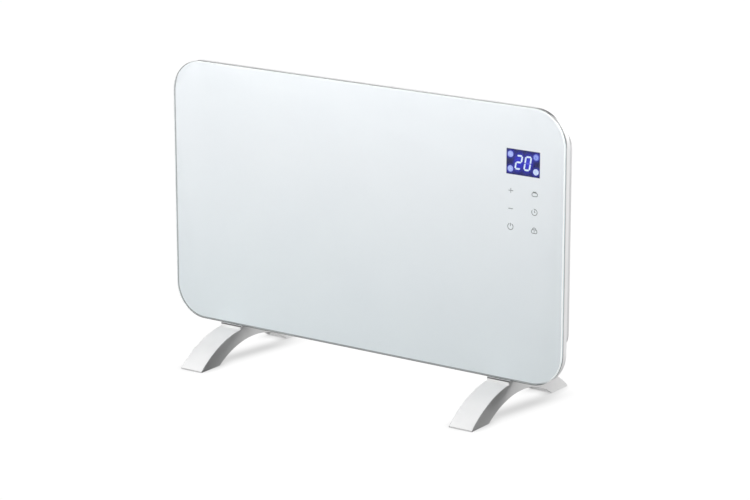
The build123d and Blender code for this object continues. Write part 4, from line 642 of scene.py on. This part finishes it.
# ------------------------------------------------------------------ studio
# Each soft box: where it is, where it looks, its width and height, its power in watts.
SOFT_BOXES = {
    "front_right_box": ((1.2, -3.0, 1.0), (0, 0, 0.2), (1.4, 1.0), 9.9),
    "high_right_box": ((0.3, -0.7, 1.4), (0.1, 0, 0.35), (0.8, 0.6), 11.0),
    "high_left_box": ((-1.3, -0.7, 1.4), (-0.1, 0, 0.35), (0.8, 0.8), 8.2),
    "side_box": ((2.0, 1.6, 1.5), (0.2, 0, 0.2), (1.2, 1.2), 65),
    "rear_box": ((0.9, 2.2, 1.6), (0.2, 0, 0.1), (0.8, 0.8), 26),
    "low_left_box": ((-1.5, -2.3, 0.3), (0, 0, 0.05), (1.2, 0.5), 29.8),
}
UNMIRRORED = {"front_right_box", "low_left_box"}     # or the pane would mirror low_left_box as a hard white block
WHITE = (1, 1, 1, 1)
AMBIENT = 0.04
FLOOR_SPAN = 14.0
FLOOR_GLOW = 0.23
# contact shade on the floor from an occlusion test
CONTACT_REACH, CONTACT_TONE, CONTACT_OPEN = 0.02, (0.6, 1.02), (0.0, 0.9)
FOOT_X = 0.258
# painted shadows on the floor under the feet
SHADOW_DEPTH, SHADOW_WIDTH, SHADOW_OFF = 0.34, 0.020, 0.009
SHADOW_DRIFT, DRIFT_FROM = 0.16, 0.037
SHADOW_FRONT, SHADOW_REAR = (-0.155, -0.105), (0.03, 0.14)


def soft_box(name, at, towards, size, power):
    light = bpy.data.lights.new(name, "AREA")
    light.shape = "RECTANGLE"
    light.size, light.size_y = size
    light.energy = power
    lamp = bpy.data.objects.new(name, light)
    lamp.location = at
    lamp.rotation_euler = (Vector(towards) - Vector(at)).to_track_quat("-Z", "Y").to_euler()
    lamp.visible_camera = False
    lamp.visible_glossy = name not in UNMIRRORED
    scene.collection.objects.link(lamp)


def painted_shadows(t):
    """Painted shadows: two soft bands under the feet, as tones below nought, which drift to the right towards the
    rear.
    """
    x, y, _ = t.place()
    drift = t.product(t.math("ADD", y, DRIFT_FROM), SHADOW_DRIFT)
    off = t.math("DIVIDE", t.math("SUBTRACT", x, t.math("ADD", drift, SHADOW_OFF)), SHADOW_WIDTH)
    bands = []
    for side in (-1, 1):
        from_foot = t.math("ABSOLUTE", t.math("ADD", off, side * FOOT_X / SHADOW_WIDTH))
        bands.append(t.math("EXPONENT", t.product(t.math("POWER", from_foot, 2.0), -1.0)))
    along = t.product(t.fit(y, 0, 1, *SHADOW_FRONT, True), t.fit(y, 1, 0, *SHADOW_REAR, True))
    return t.product(t.math("ADD", *bands), t.product(along, -SHADOW_DEPTH))


def floor_paper():
    """White to the camera with painted soft shadows and a contact shade from an occlusion test, grey in what it
    throws back on the object.
    """
    material, t = new_material("studio_floor")
    tone = t.blend(t.noise(t.at(), 40, 2), (0.19, 0.19, 0.19), (0.21, 0.21, 0.21))
    glow = t.add("Emission", {"Color": WHITE, "Strength": FLOOR_GLOW}).outputs[0]
    paper = t.add("AddShader", {0: t.add("BsdfDiffuse", {"Color": tone}).outputs[0], 1: glow}).outputs[0]
    contact = t.add("AmbientOcclusion", {"Distance": CONTACT_REACH}, samples=16).outputs["AO"]
    strength = t.math("ADD", painted_shadows(t), t.fit(contact, *CONTACT_TONE, *CONTACT_OPEN))
    sheet = t.add("Emission", {"Color": WHITE, "Strength": strength}).outputs[0]
    seen = t.add("LightPath").outputs["Is Camera Ray"]
    t.end(t.add("MixShader", {0: seen, 1: paper, 2: sheet}).outputs[0])
    return material


def white_floor():
    corners = [(x * FLOOR_SPAN, y * FLOOR_SPAN, 0) for x, y in ((-1, -1), (1, -1), (1, 1), (-1, 1))]
    mesh = bpy.data.meshes.new("studio_floor")
    mesh.from_pydata(corners, [], [(0, 1, 2, 3)])
    floor = bpy.data.objects.new("studio_floor", mesh)
    scene.collection.objects.link(floor)
    mesh.materials.append(floor_paper())


def studio_world():
    """White to the camera, and a faint light from all round."""
    world = bpy.data.worlds.new("studio")
    scene.world = world
    t = Tree(world)
    seen = t.add("LightPath").outputs["Is Camera Ray"]
    back = t.add("Background", {"Color": WHITE, "Strength": t.fit(seen, AMBIENT, 1.0)}).outputs[0]
    t.tree.links.new(back, t.add("OutputWorld").inputs["Surface"])


def studio():
    white_floor()
    studio_world()
    for name, (at, towards, size, power) in SOFT_BOXES.items():
        soft_box(name, at, towards, size, power)


place_camera()
finishes = all_materials()
dress_nodes(finishes)
display_marks(lamp_ink(), unlit_segment())
rocker_marks(finishes["grey_ink"])
studio()
